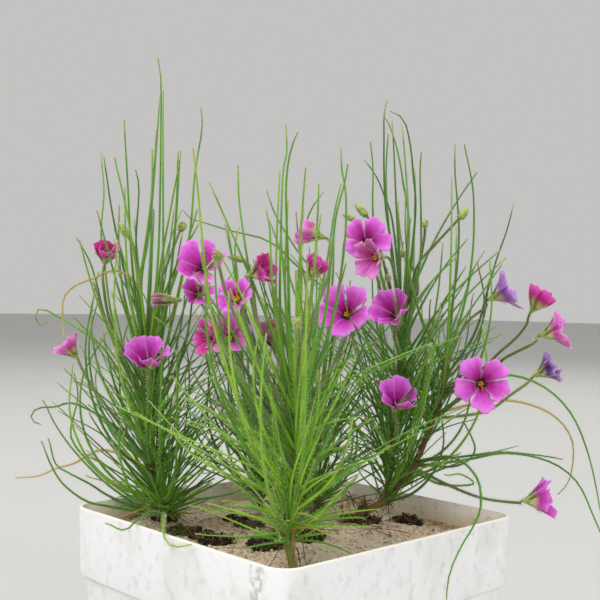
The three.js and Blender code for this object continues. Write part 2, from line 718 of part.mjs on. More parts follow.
// A tapering thread along a smooth curve: stems, stalks, leaves and sepals.
class Strand {
  constructor(points, rootRadius, tipRadius, sides, segments = 0) {
    this.curve = new THREE.CatmullRomCurve3(points, false, 'catmullrom', 0.5);
    this.rootRadius = rootRadius;
    this.tipRadius = tipRadius;
    this.sides = sides;
    this.segments = segments || this.segmentsNeeded();
    this.frames = this.curve.computeFrenetFrames(this.segments);
    this.centres = this.curve.getSpacedPoints(this.segments);
  }

  // More segments for a longer or more curled thread.
  segmentsNeeded() {
    const count = SEGMENTS.tests;
    let turning = 0;
    for (let i = 1; i <= count; i += 1) {
      turning += this.curve.getTangentAt((i - 1) / count).angleTo(this.curve.getTangentAt(i / count));
    }
    const wanted = Math.round(this.curve.getLength() / SEGMENTS.length + turning / SEGMENTS.turn);
    return THREE.MathUtils.clamp(wanted, SEGMENTS.least, SEGMENTS.most);
  }

  radiusAt(share) {
    return THREE.MathUtils.lerp(this.rootRadius, this.tipRadius, share ** THINNING);
  }

  // Points close together along the thread's straight segments, with its radius there.
  trail() {
    const samples = [];
    for (let i = 0; i < this.segments; i += 1) {
      const [from, to] = [this.centres[i], this.centres[i + 1]];
      const steps = Math.max(1, Math.ceil(from.distanceTo(to) / ROOM.step));
      for (let step = 0; step < steps; step += 1) {
        const share = (i + step / steps) / this.segments;
        samples.push({ point: from.clone().lerp(to, step / steps), radius: this.radiusAt(share) });
      }
    }
    samples.push({ point: this.centres[this.segments].clone(), radius: this.tipRadius });
    return samples;
  }

  // A straight prism of unit radius, bent onto the curve.
  solid() {
    const geometry = new THREE.CylinderGeometry(1, 1, 1, this.sides, this.segments);
    const places = geometry.attributes.position;
    for (let i = 0; i < places.count; i += 1) {
      const share = places.getY(i) + 0.5;
      const level = Math.round(share * this.segments);
      const radius = this.radiusAt(share);
      const place = this.centres[level].clone();
      place.addScaledVector(this.frames.normals[level], places.getX(i) * radius);
      place.addScaledVector(this.frames.binormals[level], -places.getZ(i) * radius);
      places.setXYZ(i, place.x, place.y, place.z);
    }
    return solidFrom(geometry);
  }
}

// Which space is taken, and by which node, as a grid of small balls.
class Space {
  constructor() {
    this.cells = new Map();
  }

  key(x, y, z) {
    return `${x},${y},${z}`;
  }

  cellOf(point) {
    return [point.x, point.y, point.z].map((value) => Math.floor(value / ROOM.cell));
  }

  add(owner, samples) {
    for (const { point, radius } of samples) {
      const key = this.key(...this.cellOf(point));
      if (!this.cells.has(key)) this.cells.set(key, []);
      this.cells.get(key).push({ owner, point, radius });
    }
  }

  // Whether a ball comes nearer than the gap to another, of any node but the one to pass over.
  touches(passOver, point, radius) {
    const [cx, cy, cz] = this.cellOf(point);
    const betweenTests = ROOM.step ** 2 / 2;
    for (let x = cx - 1; x <= cx + 1; x += 1) {
      for (let y = cy - 1; y <= cy + 1; y += 1) {
        for (let z = cz - 1; z <= cz + 1; z += 1) {
          for (const ball of this.cells.get(this.key(x, y, z)) ?? []) {
            if (ball.owner === passOver) continue;
            const least = (radius + ball.radius + GAP) ** 2 + betweenTests;
            if (ball.point.distanceToSquared(point) < least) return true;
          }
        }
      }
    }
    return false;
  }

  // Whether a thread keeps clear of other nodes, the planter and the soil, and away from its root
  // of the threads of its own node too, unless it may cross them.
  isFree(owner, samples, mayCross) {
    const root = samples[0].point;
    return samples.every(({ point, radius }) => {
      const rootDistance = point.distanceTo(root);
      const passOver = mayCross || rootDistance < ROOM.crowd ? owner : null;
      if (this.touches(passOver, point, radius)) return false;
      return rootDistance < ROOM.soil || !hitsPlanter(point, radius + GAP);
    });
  }
}

function hitsPlanter(point, radius) {
  if (point.z > POT.height + radius) return false;
  const reach = squareReach(point.x, point.y);
  const z = Math.min(point.z, POT.height);
  if (reach > widthAt(OUTER_PROFILE, z) + radius) return point.z < radius;
  if (reach > widthAt(INNER_PROFILE, z) - radius) return true;
  return point.z < soilHeight(point.x, point.y) + radius;
}

// A thin closed star: a disc whose rim carries lobes, each of a few rows of points. The disc's
// corners lie between the lobes. Both faces are split into triangles alike.
function starSheet(disc, lobes, thickness) {
  const levels = [1, -1];
  const corners = disc.ring.length;
  const points = [];
  for (const face of levels) {
    const lift = disc.axis.clone().multiplyScalar((face * thickness) / 2);
    points.push(disc.centre.clone().add(lift), ...disc.ring.map((point) => point.clone().add(lift)));
    for (const lobe of lobes) {
      for (const { point, normal } of lobe.flat()) {
        points.push(point.clone().addScaledVector(normal, (face * thickness) / 2));
      }
    }
  }
  const sheet = points.length / levels.length;
  const width = lobes[0][0].length;
  const lobeSize = lobes[0].flat().length;
  const tip = lobes[0].length - 1;
  const faces = [];
  const both = (a, b, c) => faces.push(a, b, c, sheet + a, sheet + c, sheet + b);
  const rim = (a, b) => faces.push(b, sheet + b, sheet + a, b, sheet + a, a);
  lobes.forEach((lobe, number) => {
    const left = 1 + number;
    const right = 1 + ((number + 1) % corners);
    const first = 1 + corners + number * lobeSize;
    const end = first + lobe[0].length - 1;
    both(0, left, right);
    both(left, first, right);
    for (let i = first; i < end; i += 1) both(right, i, i + 1);
    rim(first, left);
    rim(right, end);
    for (let row = 0; row < tip; row += 1) {
      const low = first + row * width;
      const high = low + width;
      for (let i = 0; i < width - 1; i += 1) {
        both(low + i, high + i, high + i + 1);
        both(low + i, high + i + 1, low + i + 1);
      }
      rim(high, low);
      rim(low + width - 1, high + width - 1);
    }
    for (let i = 0; i < width - 1; i += 1) rim(first + tip * width + i + 1, first + tip * width + i);
  });
  const geometry = new THREE.BufferGeometry().setFromPoints(points);
  geometry.setIndex(faces);
  return solidFrom(geometry);
}

// A flower stands on its own axes: Z along the way it faces, its cup's rim at the origin.
class Bloom {
  constructor(spec, index) {
    Object.assign(this, spec);
    this.label = String(index + 1).padStart(2, '0');
    const [right, up, towards] = spec.face;
    this.axis = ACROSS.clone().multiplyScalar(right).addScaledVector(UP, up);
    this.axis.addScaledVector(AWAY, -towards).normalize();
    this.turn = new THREE.Quaternion().setFromUnitVectors(UP, this.axis);
    this.spin = spec.points === undefined ? index * GOLDEN_TURN : this.spinTo(spec.points);
    this.midline = this.petalMidline();
    const middle = this.petalPlace(0.5).y;
    this.origin = fromView(...spec.at, spec.away).addScaledVector(this.axis, -middle);
  }

  // The turn at which a petal points a given way in the view.
  spinTo(degrees) {
    const angle = THREE.MathUtils.degToRad(degrees);
    const way = ACROSS.clone().multiplyScalar(Math.cos(angle)).addScaledVector(UP, Math.sin(angle));
    way.applyQuaternion(this.turn.clone().invert());
    return Math.atan2(way.y, way.x);
  }

  // The midline of a petal of unit length from its foot, at even steps, as distance from the
  // flower's axis (x) and height along it (y).
  petalMidline() {
    const leans = [PETAL.footLean, PETAL.tipLean].map(([fixed, share]) => fixed + share * this.open);
    const places = [new THREE.Vector2()];
    for (let step = 0; step < PETAL.steps; step += 1) {
      const share = ((step + 0.5) / PETAL.steps) ** PETAL.flare;
      const lean = THREE.MathUtils.degToRad(THREE.MathUtils.lerp(...(this.leans ?? leans), share));
      const way = new THREE.Vector2(Math.sin(lean), Math.cos(lean));
      places.push(places[step].clone().addScaledVector(way, 1 / PETAL.steps));
    }
    return places;
  }

  petalPlace(along) {
    const step = Math.min(Math.max(Math.floor(along * PETAL.steps), 0), PETAL.steps - 1);
    const place = this.midline[step].clone().lerp(this.midline[step + 1], along * PETAL.steps - step);
    return place.multiplyScalar(this.petal).add(new THREE.Vector2(FLOWER.discRadius, COROLLA_HEIGHT));
  }

  toModel(radius, angle, height) {
    const place = new THREE.Vector3(radius * Math.cos(angle), radius * Math.sin(angle), height);
    return place.applyQuaternion(this.turn).add(this.origin);
  }

  // Petal surface: a wedge from a narrow foot, its outer corners rounded off.
  petalSurface(number) {
    const middle = this.spin + (number * 2 * Math.PI) / FLOWER.petals;
    return (along, across) => {
      const place = this.petalPlace(along * (1 - PETAL.rounding * along * across ** 2));
      const swell = THREE.MathUtils.lerp(PETAL.foot, 1, along ** PETAL.widening);
      const half = (this.petal * PETAL.width * swell) / 2;
      const limit = Math.min(half / place.x, PETAL.halfTurn);
      return this.toModel(place.x, middle + across * limit, place.y);
    };
  }

  // The disc that joins petals or sepals, with its corners between them.
  disc(radius, height, firstCorner) {
    const step = (2 * Math.PI) / FLOWER.petals;
    const ring = Array.from({ length: FLOWER.petals }, (_, number) => (
      this.toModel(radius, firstCorner + number * step, height)
    ));
    return { centre: this.toModel(0, 0, height), axis: this.axis, ring };
  }

  corolla() {
    const columns = this.open < FLOWER.closedBelow ? 1 : 2;
    const reach = 1e-3;
    const lobes = Array.from({ length: FLOWER.petals }, (_, number) => {
      const surface = this.petalSurface(number);
      return [0.5, 1].map((along) => Array.from({ length: columns + 1 }, (_, column) => {
        const across = (2 * column) / columns - 1;
        const point = surface(along, across);
        const lengthwise = surface(along - reach, across).sub(point);
        const sideways = surface(along, across - reach).sub(point);
        return { point, normal: lengthwise.cross(sideways).normalize() };
      }));
    });
    const disc = this.disc(FLOWER.discRadius, COROLLA_HEIGHT, this.spin - Math.PI / FLOWER.petals);
    return starSheet(disc, lobes, FLOWER.thickness);
  }

  // Balls that cover the petals and the stamens.
  corollaSamples() {
    const samples = [{ point: this.toModel(0, 0, ROOM.heartHeight), radius: ROOM.heart }];
    const steps = ROOM.petalSteps;
    for (let number = 0; number < FLOWER.petals; number += 1) {
      const surface = this.petalSurface(number);
      for (let row = 1; row <= steps; row += 1) {
        for (let column = 0; column <= steps; column += 1) {
          const point = surface(row / steps, (2 * column) / steps - 1);
          samples.push({ point, radius: ROOM.petal });
        }
      }
    }
    return samples;
  }

  // Five stamens as the points of a small crown.
  stamens() {
    const rings = [[], []];
    const points = 2 * FLOWER.petals;
    for (let number = 0; number < points; number += 1) {
      const angle = this.spin + (number * 2 * Math.PI) / points;
      const tall = number % 2 === 0;
      const height = tall ? STAMENS.length : FLOWER.thickness * 2;
      const radius = tall ? STAMENS.spread : STAMENS.notchRadius;
      rings[0].push(this.toModel(STAMENS.footRadius, angle, STAMEN_HEIGHT));
      rings[1].push(this.toModel(radius, angle, STAMEN_HEIGHT + height));
    }
    const low = this.toModel(0, 0, STAMEN_HEIGHT);
    return loft(rings, low, this.toModel(0, 0, STAMEN_HEIGHT + FLOWER.thickness));
  }

  // The green cup: five sepals on a disc, outside the petals and between them.
  calyx() {
    const half = this.petalPlace(0.5).sub(this.petalPlace(0));
    const lean = Math.atan2(half.x, half.y) + FLOWER.sepalLean;
    const lobes = Array.from({ length: FLOWER.petals }, (_, number) => {
      const angle = this.spin + ((number + 0.5) * 2 * Math.PI) / FLOWER.petals;
      const radius = FLOWER.cupRadius + FLOWER.sepalLength * Math.sin(lean);
      const height = CALYX_HEIGHT + FLOWER.sepalLength * Math.cos(lean);
      const point = this.toModel(radius, angle, height);
      const inward = this.toModel(radius - Math.cos(lean), angle, height + Math.sin(lean));
      return [[{ point, normal: inward.sub(point) }]];
    });
    return starSheet(this.disc(FLOWER.cupRadius, CALYX_HEIGHT, this.spin), lobes, FLOWER.thickness);
  }

  // Where the stalk leaves the cup: in its disc, and a little below.
  stalkEnds() {
    return [this.toModel(0, 0, CALYX_HEIGHT), this.toModel(0, 0, CALYX_HEIGHT - FLOWER.stalkBend)];
  }
}

// A plant: its stems, and the leaves, buds, flower cups and stalks that are one body with them.
class Plant {
  constructor(spec, space) {
    Object.assign(this, spec);
    this.space = space;
    this.solids = [];
    this.feet = [];
    this.stemPlaces = [];
    spec.stems.forEach((stem, index) => this.addStem(stem, index === 0));
  }

  // The first stem of a plant stands in the soil on an upright peg; another starts inside it.
  addStem(stem, rooted) {
    const points = stem.course.map((place) => fromView(...place));
    if (rooted) {
      const foot = points[0].setZ(soilHeight(points[0].x, points[0].y));
      this.feet.push({ foot: foot.clone(), radius: stem.radius });
      const low = foot.clone().setZ(foot.z - SOIL.rootDepth);
      const high = foot.clone().setZ(foot.z + STEM.pegTop * stem.radius);
      this.solids.push(new Strand([low, high], stem.radius, stem.radius, STEM.sides, 1).solid());
      foot.setZ(foot.z + STEM.leanFrom * stem.radius);
    }
    const strand = new Strand(points, stem.radius, stem.tip, STEM.sides, STEM.segments);
    this.solids.push(strand.solid());
    this.space.add(this.name, strand.trail());
    for (const { point } of strand.trail()) {
      if (point.z > SOIL.top + STEM.bare) this.stemPlaces.push(point);
    }
  }

  // The place on the stems that is nearest to (x, y) of the view.
  nearestOnStem([x, y]) {
    let best = this.stemPlaces[0];
    let least = Infinity;
    for (const place of this.stemPlaces) {
      const [px, py] = toView(place);
      const distance = Math.hypot(px - x, py - y);
      if (distance < least) {
        least = distance;
        best = place;
      }
    }
    return best;
  }

  // Points of a course from the stem outwards. Depths that aren't given run from the stem's to
  // `tipAway` further, most of it near the tip.
  trace(course, tipAway) {
    const outward = [...course].reverse();
    const root = this.nearestOnStem(outward[0]);
    const rootAway = root.dot(AWAY);
    const lengths = [0];
    for (let i = 1; i < outward.length; i += 1) {
      const step = Math.hypot(outward[i][0] - outward[i - 1][0], outward[i][1] - outward[i - 1][1]);
      lengths.push(lengths[i - 1] + step);
    }
    const total = lengths[lengths.length - 1];
    return outward.map(([x, y, away], index) => {
      if (index === 0) return root.clone();
      const share = lengths[index] / total;
      return fromView(x, y, away ?? rootAway + tipAway * share ** DEPTH.ease);
    });
  }

  // A drawn thread, tried at a few depths until it stands clear of its neighbours.
  addDrawn(course, tipAway, thread) {
    for (const mayCross of [false, true]) {
      for (const shift of DEPTH.shifts) {
        const points = this.trace(course, tipAway + shift);
        const segments = course[0].length === 3 ? SEGMENTS.drawnWithDepth : 0;
        const strand = new Strand(points, thread.root, thread.tip, thread.sides, segments);
        if (this.space.isFree(this.name, strand.trail(), mayCross)) return this.keep(strand);
      }
    }
    return null;
  }

  keep(strand) {
    this.space.add(this.name, strand.trail());
    this.solids.push(strand.solid());
    return strand;
  }

  addLeaves() {
    this.leaves.forEach((course, index) => {
      const spread = DEPTH.leaf * Math.sin(GOLDEN_TURN * index + this.seed);
      this.addDrawn(course, spread, LEAF);
    });
  }

  addBuds() {
    this.buds.forEach((bud, index) => {
      const spread = DEPTH.bud * Math.cos(GOLDEN_TURN * index + this.seed);
      const strand = this.addDrawn(bud.course, spread, STALK);
      if (!strand) return;
      const tip = strand.centres[strand.segments];
      const ball = new THREE.SphereGeometry(bud.radius, BUD_SPLITS.around, BUD_SPLITS.along);
      ball.rotateX(Math.PI / 2).scale(1, 1, bud.length / bud.radius / 2);
      const heading = strand.frames.tangents[strand.segments];
      ball.applyQuaternion(new THREE.Quaternion().setFromUnitVectors(UP, heading));
      ball.translate(tip.x, tip.y, tip.z);
      this.solids.push(solidFrom(ball));
      this.space.add(this.name, [{ point: tip, radius: Math.max(bud.radius, bud.length / 2) }]);
    });
  }

  addBloomStalk(bloom) {
    const [inCup, belowCup] = bloom.stalkEnds();
    const towards = bloom.away - this.nearestOnStem(bloom.stalk[bloom.stalk.length - 1]).dot(AWAY);
    const strands = DEPTH.shifts.map((shift) => {
      const points = [...this.trace(bloom.stalk, (towards + shift) * DEPTH.stalk), belowCup, inCup];
      return new Strand(points, STALK.root, STALK.tip, STALK.sides);
    });
    const isClear = (strand, mayCross) => {
      const below = strand.trail().filter(({ point }) => point.distanceTo(inCup) > ROOM.cup);
      return this.space.isFree(this.name, below, mayCross);
    };
    const apart = strands.find((strand) => isClear(strand, false));
    this.keep(apart ?? strands.find((strand) => isClear(strand, true)) ?? strands[0]);
    this.solids.push(bloom.calyx());
  }

  // Leaves by rule: turned by the golden angle, low ones spreading, high ones steep and nodding.
  addFillers() {
    const random = seededRandom(this.seed);
    const { count, length, envelope } = this.fillers;
    const { sections } = RULE_LEAF;
    for (let number = 0; number < count; number += 1) {
      const height = (number + 0.5) / count;
      const shortening = RULE_LEAF.shorter * Math.abs(height - RULE_LEAF.longestAt);
      const reach = THREE.MathUtils.lerp(...length, random()) * (1 - shortening);
      const root = this.stemPlaces[Math.floor(height * (this.stemPlaces.length - 1))];
      let heading = number * GOLDEN_TURN + RULE_LEAF.turnDraw * random();
      let lean = THREE.MathUtils.lerp(...RULE_LEAF.lean, height) + RULE_LEAF.leanDraw * (random() - 0.5);
      const bend = THREE.MathUtils.lerp(...RULE_LEAF.bend, height) + RULE_LEAF.bendDraw * (random() - 0.5);
      const points = [root.clone()];
      for (let i = 0; i < sections; i += 1) {
        const step = new THREE.Vector3(Math.cos(heading), Math.sin(heading), 0);
        step.multiplyScalar(Math.sin(lean)).addScaledVector(UP, Math.cos(lean));
        points.push(points[i].clone().addScaledVector(step, reach / sections));
        heading += RULE_LEAF.wander * (random() - 0.5);
        lean += bend;
      }
      const strand = new Strand(points, LEAF.root, LEAF.tip, LEAF.sides);
      const trail = strand.trail();
      const outside = trail.filter(({ point }) => !isInside(toView(point), envelope)).length;
      const inOutline = outside < RULE_LEAF.outside * trail.length;
      if (inOutline && this.space.isFree(this.name, trail, false)) this.keep(strand);
    }
  }

  build() {
    return meshFrom(this.name, fuse(this.solids), 'leaf');
  }
}

// Whether a place of the view lies inside a closed outline.
function isInside([x, y], outline) {
  let inside = false;
  outline.forEach(([ax, ay], index) => {
    const [bx, by] = outline[(index + 1) % outline.length];
    if (ay > y !== by > y && x < ax + ((bx - ax) * (y - ay)) / (by - ay)) inside = !inside;
  });
  return inside;
}

const space = new Space();
const plants = PLANTS.map((spec) => new Plant(spec, space));
const blooms = BLOOMS.map((spec, index) => new Bloom(spec, index));
blooms.forEach((bloom) => space.add(`petals_${bloom.label}`, bloom.corollaSamples()));
blooms.forEach((bloom) => plants.find(({ name }) => name === bloom.plant).addBloomStalk(bloom));
plants.forEach((plant) => plant.addBuds());
plants.forEach((plant) => plant.addLeaves());
plants.forEach((plant) => plant.addFillers());

const group = new THREE.Group();
group.add(buildPot());
group.add(buildSoil(plants.flatMap(({ feet }) => feet)));
plants.forEach((plant) => group.add(plant.build()));
blooms.forEach((bloom) => {
  group.add(meshFrom(`petals_${bloom.label}`, bloom.corolla(), 'petal'));
  if (bloom.open > FLOWER.openForStamens) {
    group.add(meshFrom(`stamens_${bloom.label}`, bloom.stamens(), 'stamen'));
  }
});

export default group;
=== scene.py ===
"""Rainbow plants in a square white planter, dressed round their fixed frame.

Sizes are in millimetres until a piece is finished; every finished piece is in metres.
"""
import logging
import math
import random
from collections.abc import Callable, Iterable
from dataclasses import dataclass, field
from enum import Enum, auto
from functools import cached_property

import bmesh
import bpy
import numpy as np
from mathutils import Matrix, Vector, noise


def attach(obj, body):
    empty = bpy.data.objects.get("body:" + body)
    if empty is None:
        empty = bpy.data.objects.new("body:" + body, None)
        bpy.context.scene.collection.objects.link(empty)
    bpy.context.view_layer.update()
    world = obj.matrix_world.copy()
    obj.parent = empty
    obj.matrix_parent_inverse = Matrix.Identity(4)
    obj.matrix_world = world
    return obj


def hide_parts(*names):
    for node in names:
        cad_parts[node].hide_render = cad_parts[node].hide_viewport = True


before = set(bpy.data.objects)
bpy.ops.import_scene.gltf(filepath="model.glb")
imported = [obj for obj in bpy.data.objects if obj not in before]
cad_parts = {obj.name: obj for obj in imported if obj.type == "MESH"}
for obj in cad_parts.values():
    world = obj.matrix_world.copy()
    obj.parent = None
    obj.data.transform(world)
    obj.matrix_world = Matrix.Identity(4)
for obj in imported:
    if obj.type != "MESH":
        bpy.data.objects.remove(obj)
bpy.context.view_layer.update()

log = logging.getLogger("rainbow_plant")

MM = 0.001
UP = np.array((0.0, 0.0, 1.0))
GOLDEN_TURN = math.radians(137.508)
GAP = 0.3
WELD = 1e-4

Place = tuple[float, ...]
Course = list[Place]
Colour = tuple[float, float, float, float]
Array = np.ndarray
Socket = bpy.types.NodeSocket
Material = bpy.types.Material
Mesh = bpy.types.Mesh
Object = bpy.types.Object
BMesh = bmesh.types.BMesh


def unit(vector: Array) -> Array:
    """Return vectors at length one."""
    return vector / np.linalg.norm(vector, axis=-1, keepdims=True)


def lerp(first: float, last: float, share: float) -> float:
    """Return the value a share of the way from first to last."""
    return first + (last - first) * share


def colour(code: str) -> Colour:
    """Return a colour as linear light.

    Args:
        code: Six hexadecimal digits of an ordinary screen colour.

    Returns:
        Red, green, blue and a full alpha.
    """
    shades = [int(code[i:i + 2], 16) / 255 for i in (0, 2, 4)]
    linear = [s / 12.92 if s <= 0.04045 else ((s + 0.055) / 1.055) ** 2.4 for s in shades]
    return (*linear, 1.0)


class SeededRandom:
    """The seeded draws that place leaves by rule, alike in every part of the design."""

    MASK = 0xFFFFFFFF
    STEP = 0x6D2B79F5

    def __init__(self, seed: int) -> None:
        """Start the draws from a seed."""
        self.state = seed & self.MASK

    def draw(self) -> float:
        """Return the next draw, from 0 up to 1."""
        self.state = (self.state + self.STEP) & self.MASK
        mixed = ((self.state ^ (self.state >> 15)) * (1 | self.state)) & self.MASK
        product = ((mixed ^ (mixed >> 7)) * (61 | mixed)) & self.MASK
        mixed = ((mixed + product) & self.MASK) ^ mixed
        return ((mixed ^ (mixed >> 14)) & self.MASK) / (self.MASK + 1)


@dataclass(frozen=True)
class View:
    """The view in which stems, leaves and flowers are drawn, from the planter's near corner.

    A place in it is x to the right and y down, in 600ths of the picture, and how far away it lies,
    in millimetres behind the upright plane through the origin.
    """

    eye: tuple[float, float, float] = (437.8, -412.8, 314.6)
    turn: float = 46.5
    lift: float = -0.3
    roll: float = 1.0
    focal: float = 950.0
    middle: float = 300.0

    @cached_property
    def across(self) -> Array:
        """The level direction to the right."""
        turn = math.radians(self.turn)
        return np.array((math.cos(turn), math.sin(turn), 0.0))

    @cached_property
    def away(self) -> Array:
        """The level direction straight away from the eye."""
        return np.cross(UP, self.across)

    @cached_property
    def forward(self) -> Array:
        """The direction in which the eye looks."""
        lift = math.radians(self.lift)
        return self.away * math.cos(lift) - UP * math.sin(lift)

    @cached_property
    def right(self) -> Array:
        """The picture's right, with its roll."""
        roll = math.radians(self.roll)
        above = np.cross(self.across, self.forward)
        return self.across * math.cos(roll) + above * math.sin(roll)

    @cached_property
    def top(self) -> Array:
        """The picture's top, with its roll."""
        return np.cross(self.right, self.forward)

    def ray(self, x: float, y: float) -> Array:
        """Return the direction from the eye through (x, y) of the picture."""
        side = self.right * (x - self.middle) / self.focal
        return self.forward + side + self.top * (self.middle - y) / self.focal

    def place(self, x: float, y: float, away: float) -> Array:
        """Return the point at (x, y) of the picture that lies so far away."""
        ray = self.ray(x, y)
        eye = np.array(self.eye)
        return eye + ray * ((away - eye @ self.away) / (ray @ self.away))

    def on_level(self, x: float, y: float, height: float) -> Array:
        """Return the point at (x, y) of the picture that lies at a height."""
        ray = self.ray(x, y)
        eye = np.array(self.eye)
        return eye + ray * ((height - eye[2]) / ray[2])

    def picture(self, point: Array) -> tuple[float, float]:
        """Return where a point appears in the picture."""
        offset = point - np.array(self.eye)
        scale = self.focal / (offset @ self.forward)
        return self.middle + scale * (offset @ self.right), self.middle - scale * (offset @ self.top)


VIEW = View()


@dataclass(frozen=True)
class StemPlan:
    """A stem: its radius at the foot and at the tip, and the places it passes from the soil up."""

    radius: float
    tip: float
    course: Course


@dataclass(frozen=True)
class BudPlan:
    """A flower bud and the places its stalk passes, from the bud to the stem."""

    length: float
    radius: float
    course: Course


@dataclass(frozen=True)
class PlantPlan:
    """A plant as drawn, and the leaves that rule adds: their number, length and outline."""

    name: str
    seed: int
    stems: list[StemPlan]
    leaves: list[Course]
    buds: list[BudPlan]
    count: int
    length: tuple[float, float]
    outline: Course


class Tone(Enum):
    """The tones of the corollas."""

    MAGENTA = auto()
    ROSE = auto()
    CRIMSON = auto()
    VIOLET = auto()
    WILTED = auto()
    FADED = auto()


@dataclass(frozen=True)
class BloomPlan:
    """A flower as drawn: where it is, which way it faces (right, up, towards the eye), how far it is
    open in degrees, its petals' length, its plant, the places its stalk passes, its tone, and for
    some the way a petal points in the picture or the petals' lean at foot and tip, in degrees."""

    at: Place
    away: float
    face: Place
    open: float
    petal: float
    plant: str
    stalk: Course
    tone: Tone = Tone.MAGENTA
    points: float | None = None
    leans: tuple[float, float] | None = None


@dataclass(frozen=True)
class Tier:
    """A fan of shorter leaves round a stem: its place in the picture, how many leaves, their leans
    from upright within the fan and without, and their lengths in millimetres."""

    x: float
    y: float
    count: int
    leans: tuple[float, float] = (0.1, 1.05)
    lengths: tuple[float, float] = (45.0, 120.0)


LEFT = "plant_left"
FRONT = "plant_front"
RIGHT = "plant_right"
REAR = "plant_rear"
LEFT_REAR = "plant_left_rear"

PLANT_LEFT = PlantPlan(
    name=LEFT,
    seed=11,
    stems=[
        StemPlan(2.3, 1.6, [
            (165, 522, 21), (160, 495, 20), (152, 455, 18), (149, 400, 16), (147, 338, 14),
        ]),
    ],
    leaves=[
        [(158, 58), (161, 80), (161, 120), (160, 200), (158, 260), (152, 340), (150, 450)],
        [(160, 95), (154, 180), (148, 240), (141, 290), (145, 400), (150, 440)],
        [(163, 90), (163, 180), (163, 260), (160, 300), (152, 430)],
        [(157, 130), (150, 210), (143, 260), (138, 300), (147, 425)],
        [(100, 150), (104, 190), (101, 230), (104, 260), (115, 330), (148, 420)],
        [(136, 169), (139, 190), (136, 240), (138, 280), (143, 350), (149, 415)],
        [(77, 238), (90, 262), (97, 285), (110, 330), (149, 405)],
        [
            (48, 322), (41, 327), (35, 318), (38, 309), (48, 311), (80, 330), (105, 350), (125, 385),
            (151, 445),
        ],
        [(201, 108), (202, 130), (195, 172), (189, 239), (170, 330), (150, 425)],
        [(182, 208), (172, 235), (163, 270), (155, 330), (150, 400)],
        [(64, 336), (63, 300), (76, 285), (92, 279), (107, 272), (122, 272), (136, 287), (147, 340)],
        [(118, 274), (126, 287), (134, 303), (147, 345)],
        [(98, 361), (96, 386), (110, 430), (158, 490)],
        [(103, 332), (107, 353), (120, 400), (154, 465)],
        [(44, 400), (55, 424), (76, 453), (107, 484), (142, 507), (164, 514)],
        [(49, 438), (55, 463), (67, 472), (90, 484), (107, 495), (134, 507), (164, 514)],
        [
            (42, 441, -18), (50, 463, -20), (63, 484, -20), (86, 501, -16), (107, 506, -10),
            (130, 510, 2), (165, 516),
        ],
        [(14, 478), (38, 476), (57, 468), (75, 463), (100, 450), (130, 458), (156, 475)],
        [(74, 372), (78, 396), (72, 422), (71, 438), (84, 457), (107, 480), (145, 505), (163, 510)],
        [(42, 424), (32, 421), (31, 415), (38, 408), (55, 407), (76, 404), (120, 430), (155, 470)],
        [(107, 521, -46), (116, 528, -51), (126, 530, -54), (135, 522, -50), (149, 513, -22), (165, 514)],
        [(192, 544, -92), (178, 547, -86), (167, 543, -81), (163, 531, -73), (163, 522, -50), (165, 512)],
        [(246, 487, -20), (236, 492, -14), (221, 496, -8), (198, 500, 0), (166, 512)],
        [(215, 478), (195, 488), (163, 505)],
        [(240, 470, -16), (210, 487, -8), (164, 510)],
        [(196, 418), (183, 440), (172, 462), (158, 488)],
        [(212, 404), (192, 430), (170, 458), (155, 475)],
        [(88, 412), (104, 436), (126, 462), (160, 496)],
        [(178, 150), (176, 210), (170, 280), (160, 350), (150, 395)],
        [(124, 120), (128, 190), (131, 250), (137, 310), (149, 385)],
        [(186, 280), (182, 320), (170, 370), (151, 430)],
        [(118, 452), (134, 474), (162, 500)],
    ],
    buds=[
        BudPlan(10, 2.9, [(124, 230), (128, 237), (134, 248), (139, 290), (148, 345)]),
        BudPlan(6.6, 3.2, [(182, 227), (179, 233), (166, 267), (155, 295), (148, 340)]),
        BudPlan(6, 2.6, [(118, 353), (124, 366), (150, 405)]),
    ],
    count=62,
    length=(95, 175),
    outline=[
        (100, 522), (58, 470), (40, 400), (58, 330), (82, 245), (104, 150), (138, 95), (158, 60),
        (178, 90), (202, 120), (204, 200), (196, 300), (200, 380), (216, 440), (232, 490), (200, 516),
    ],
)

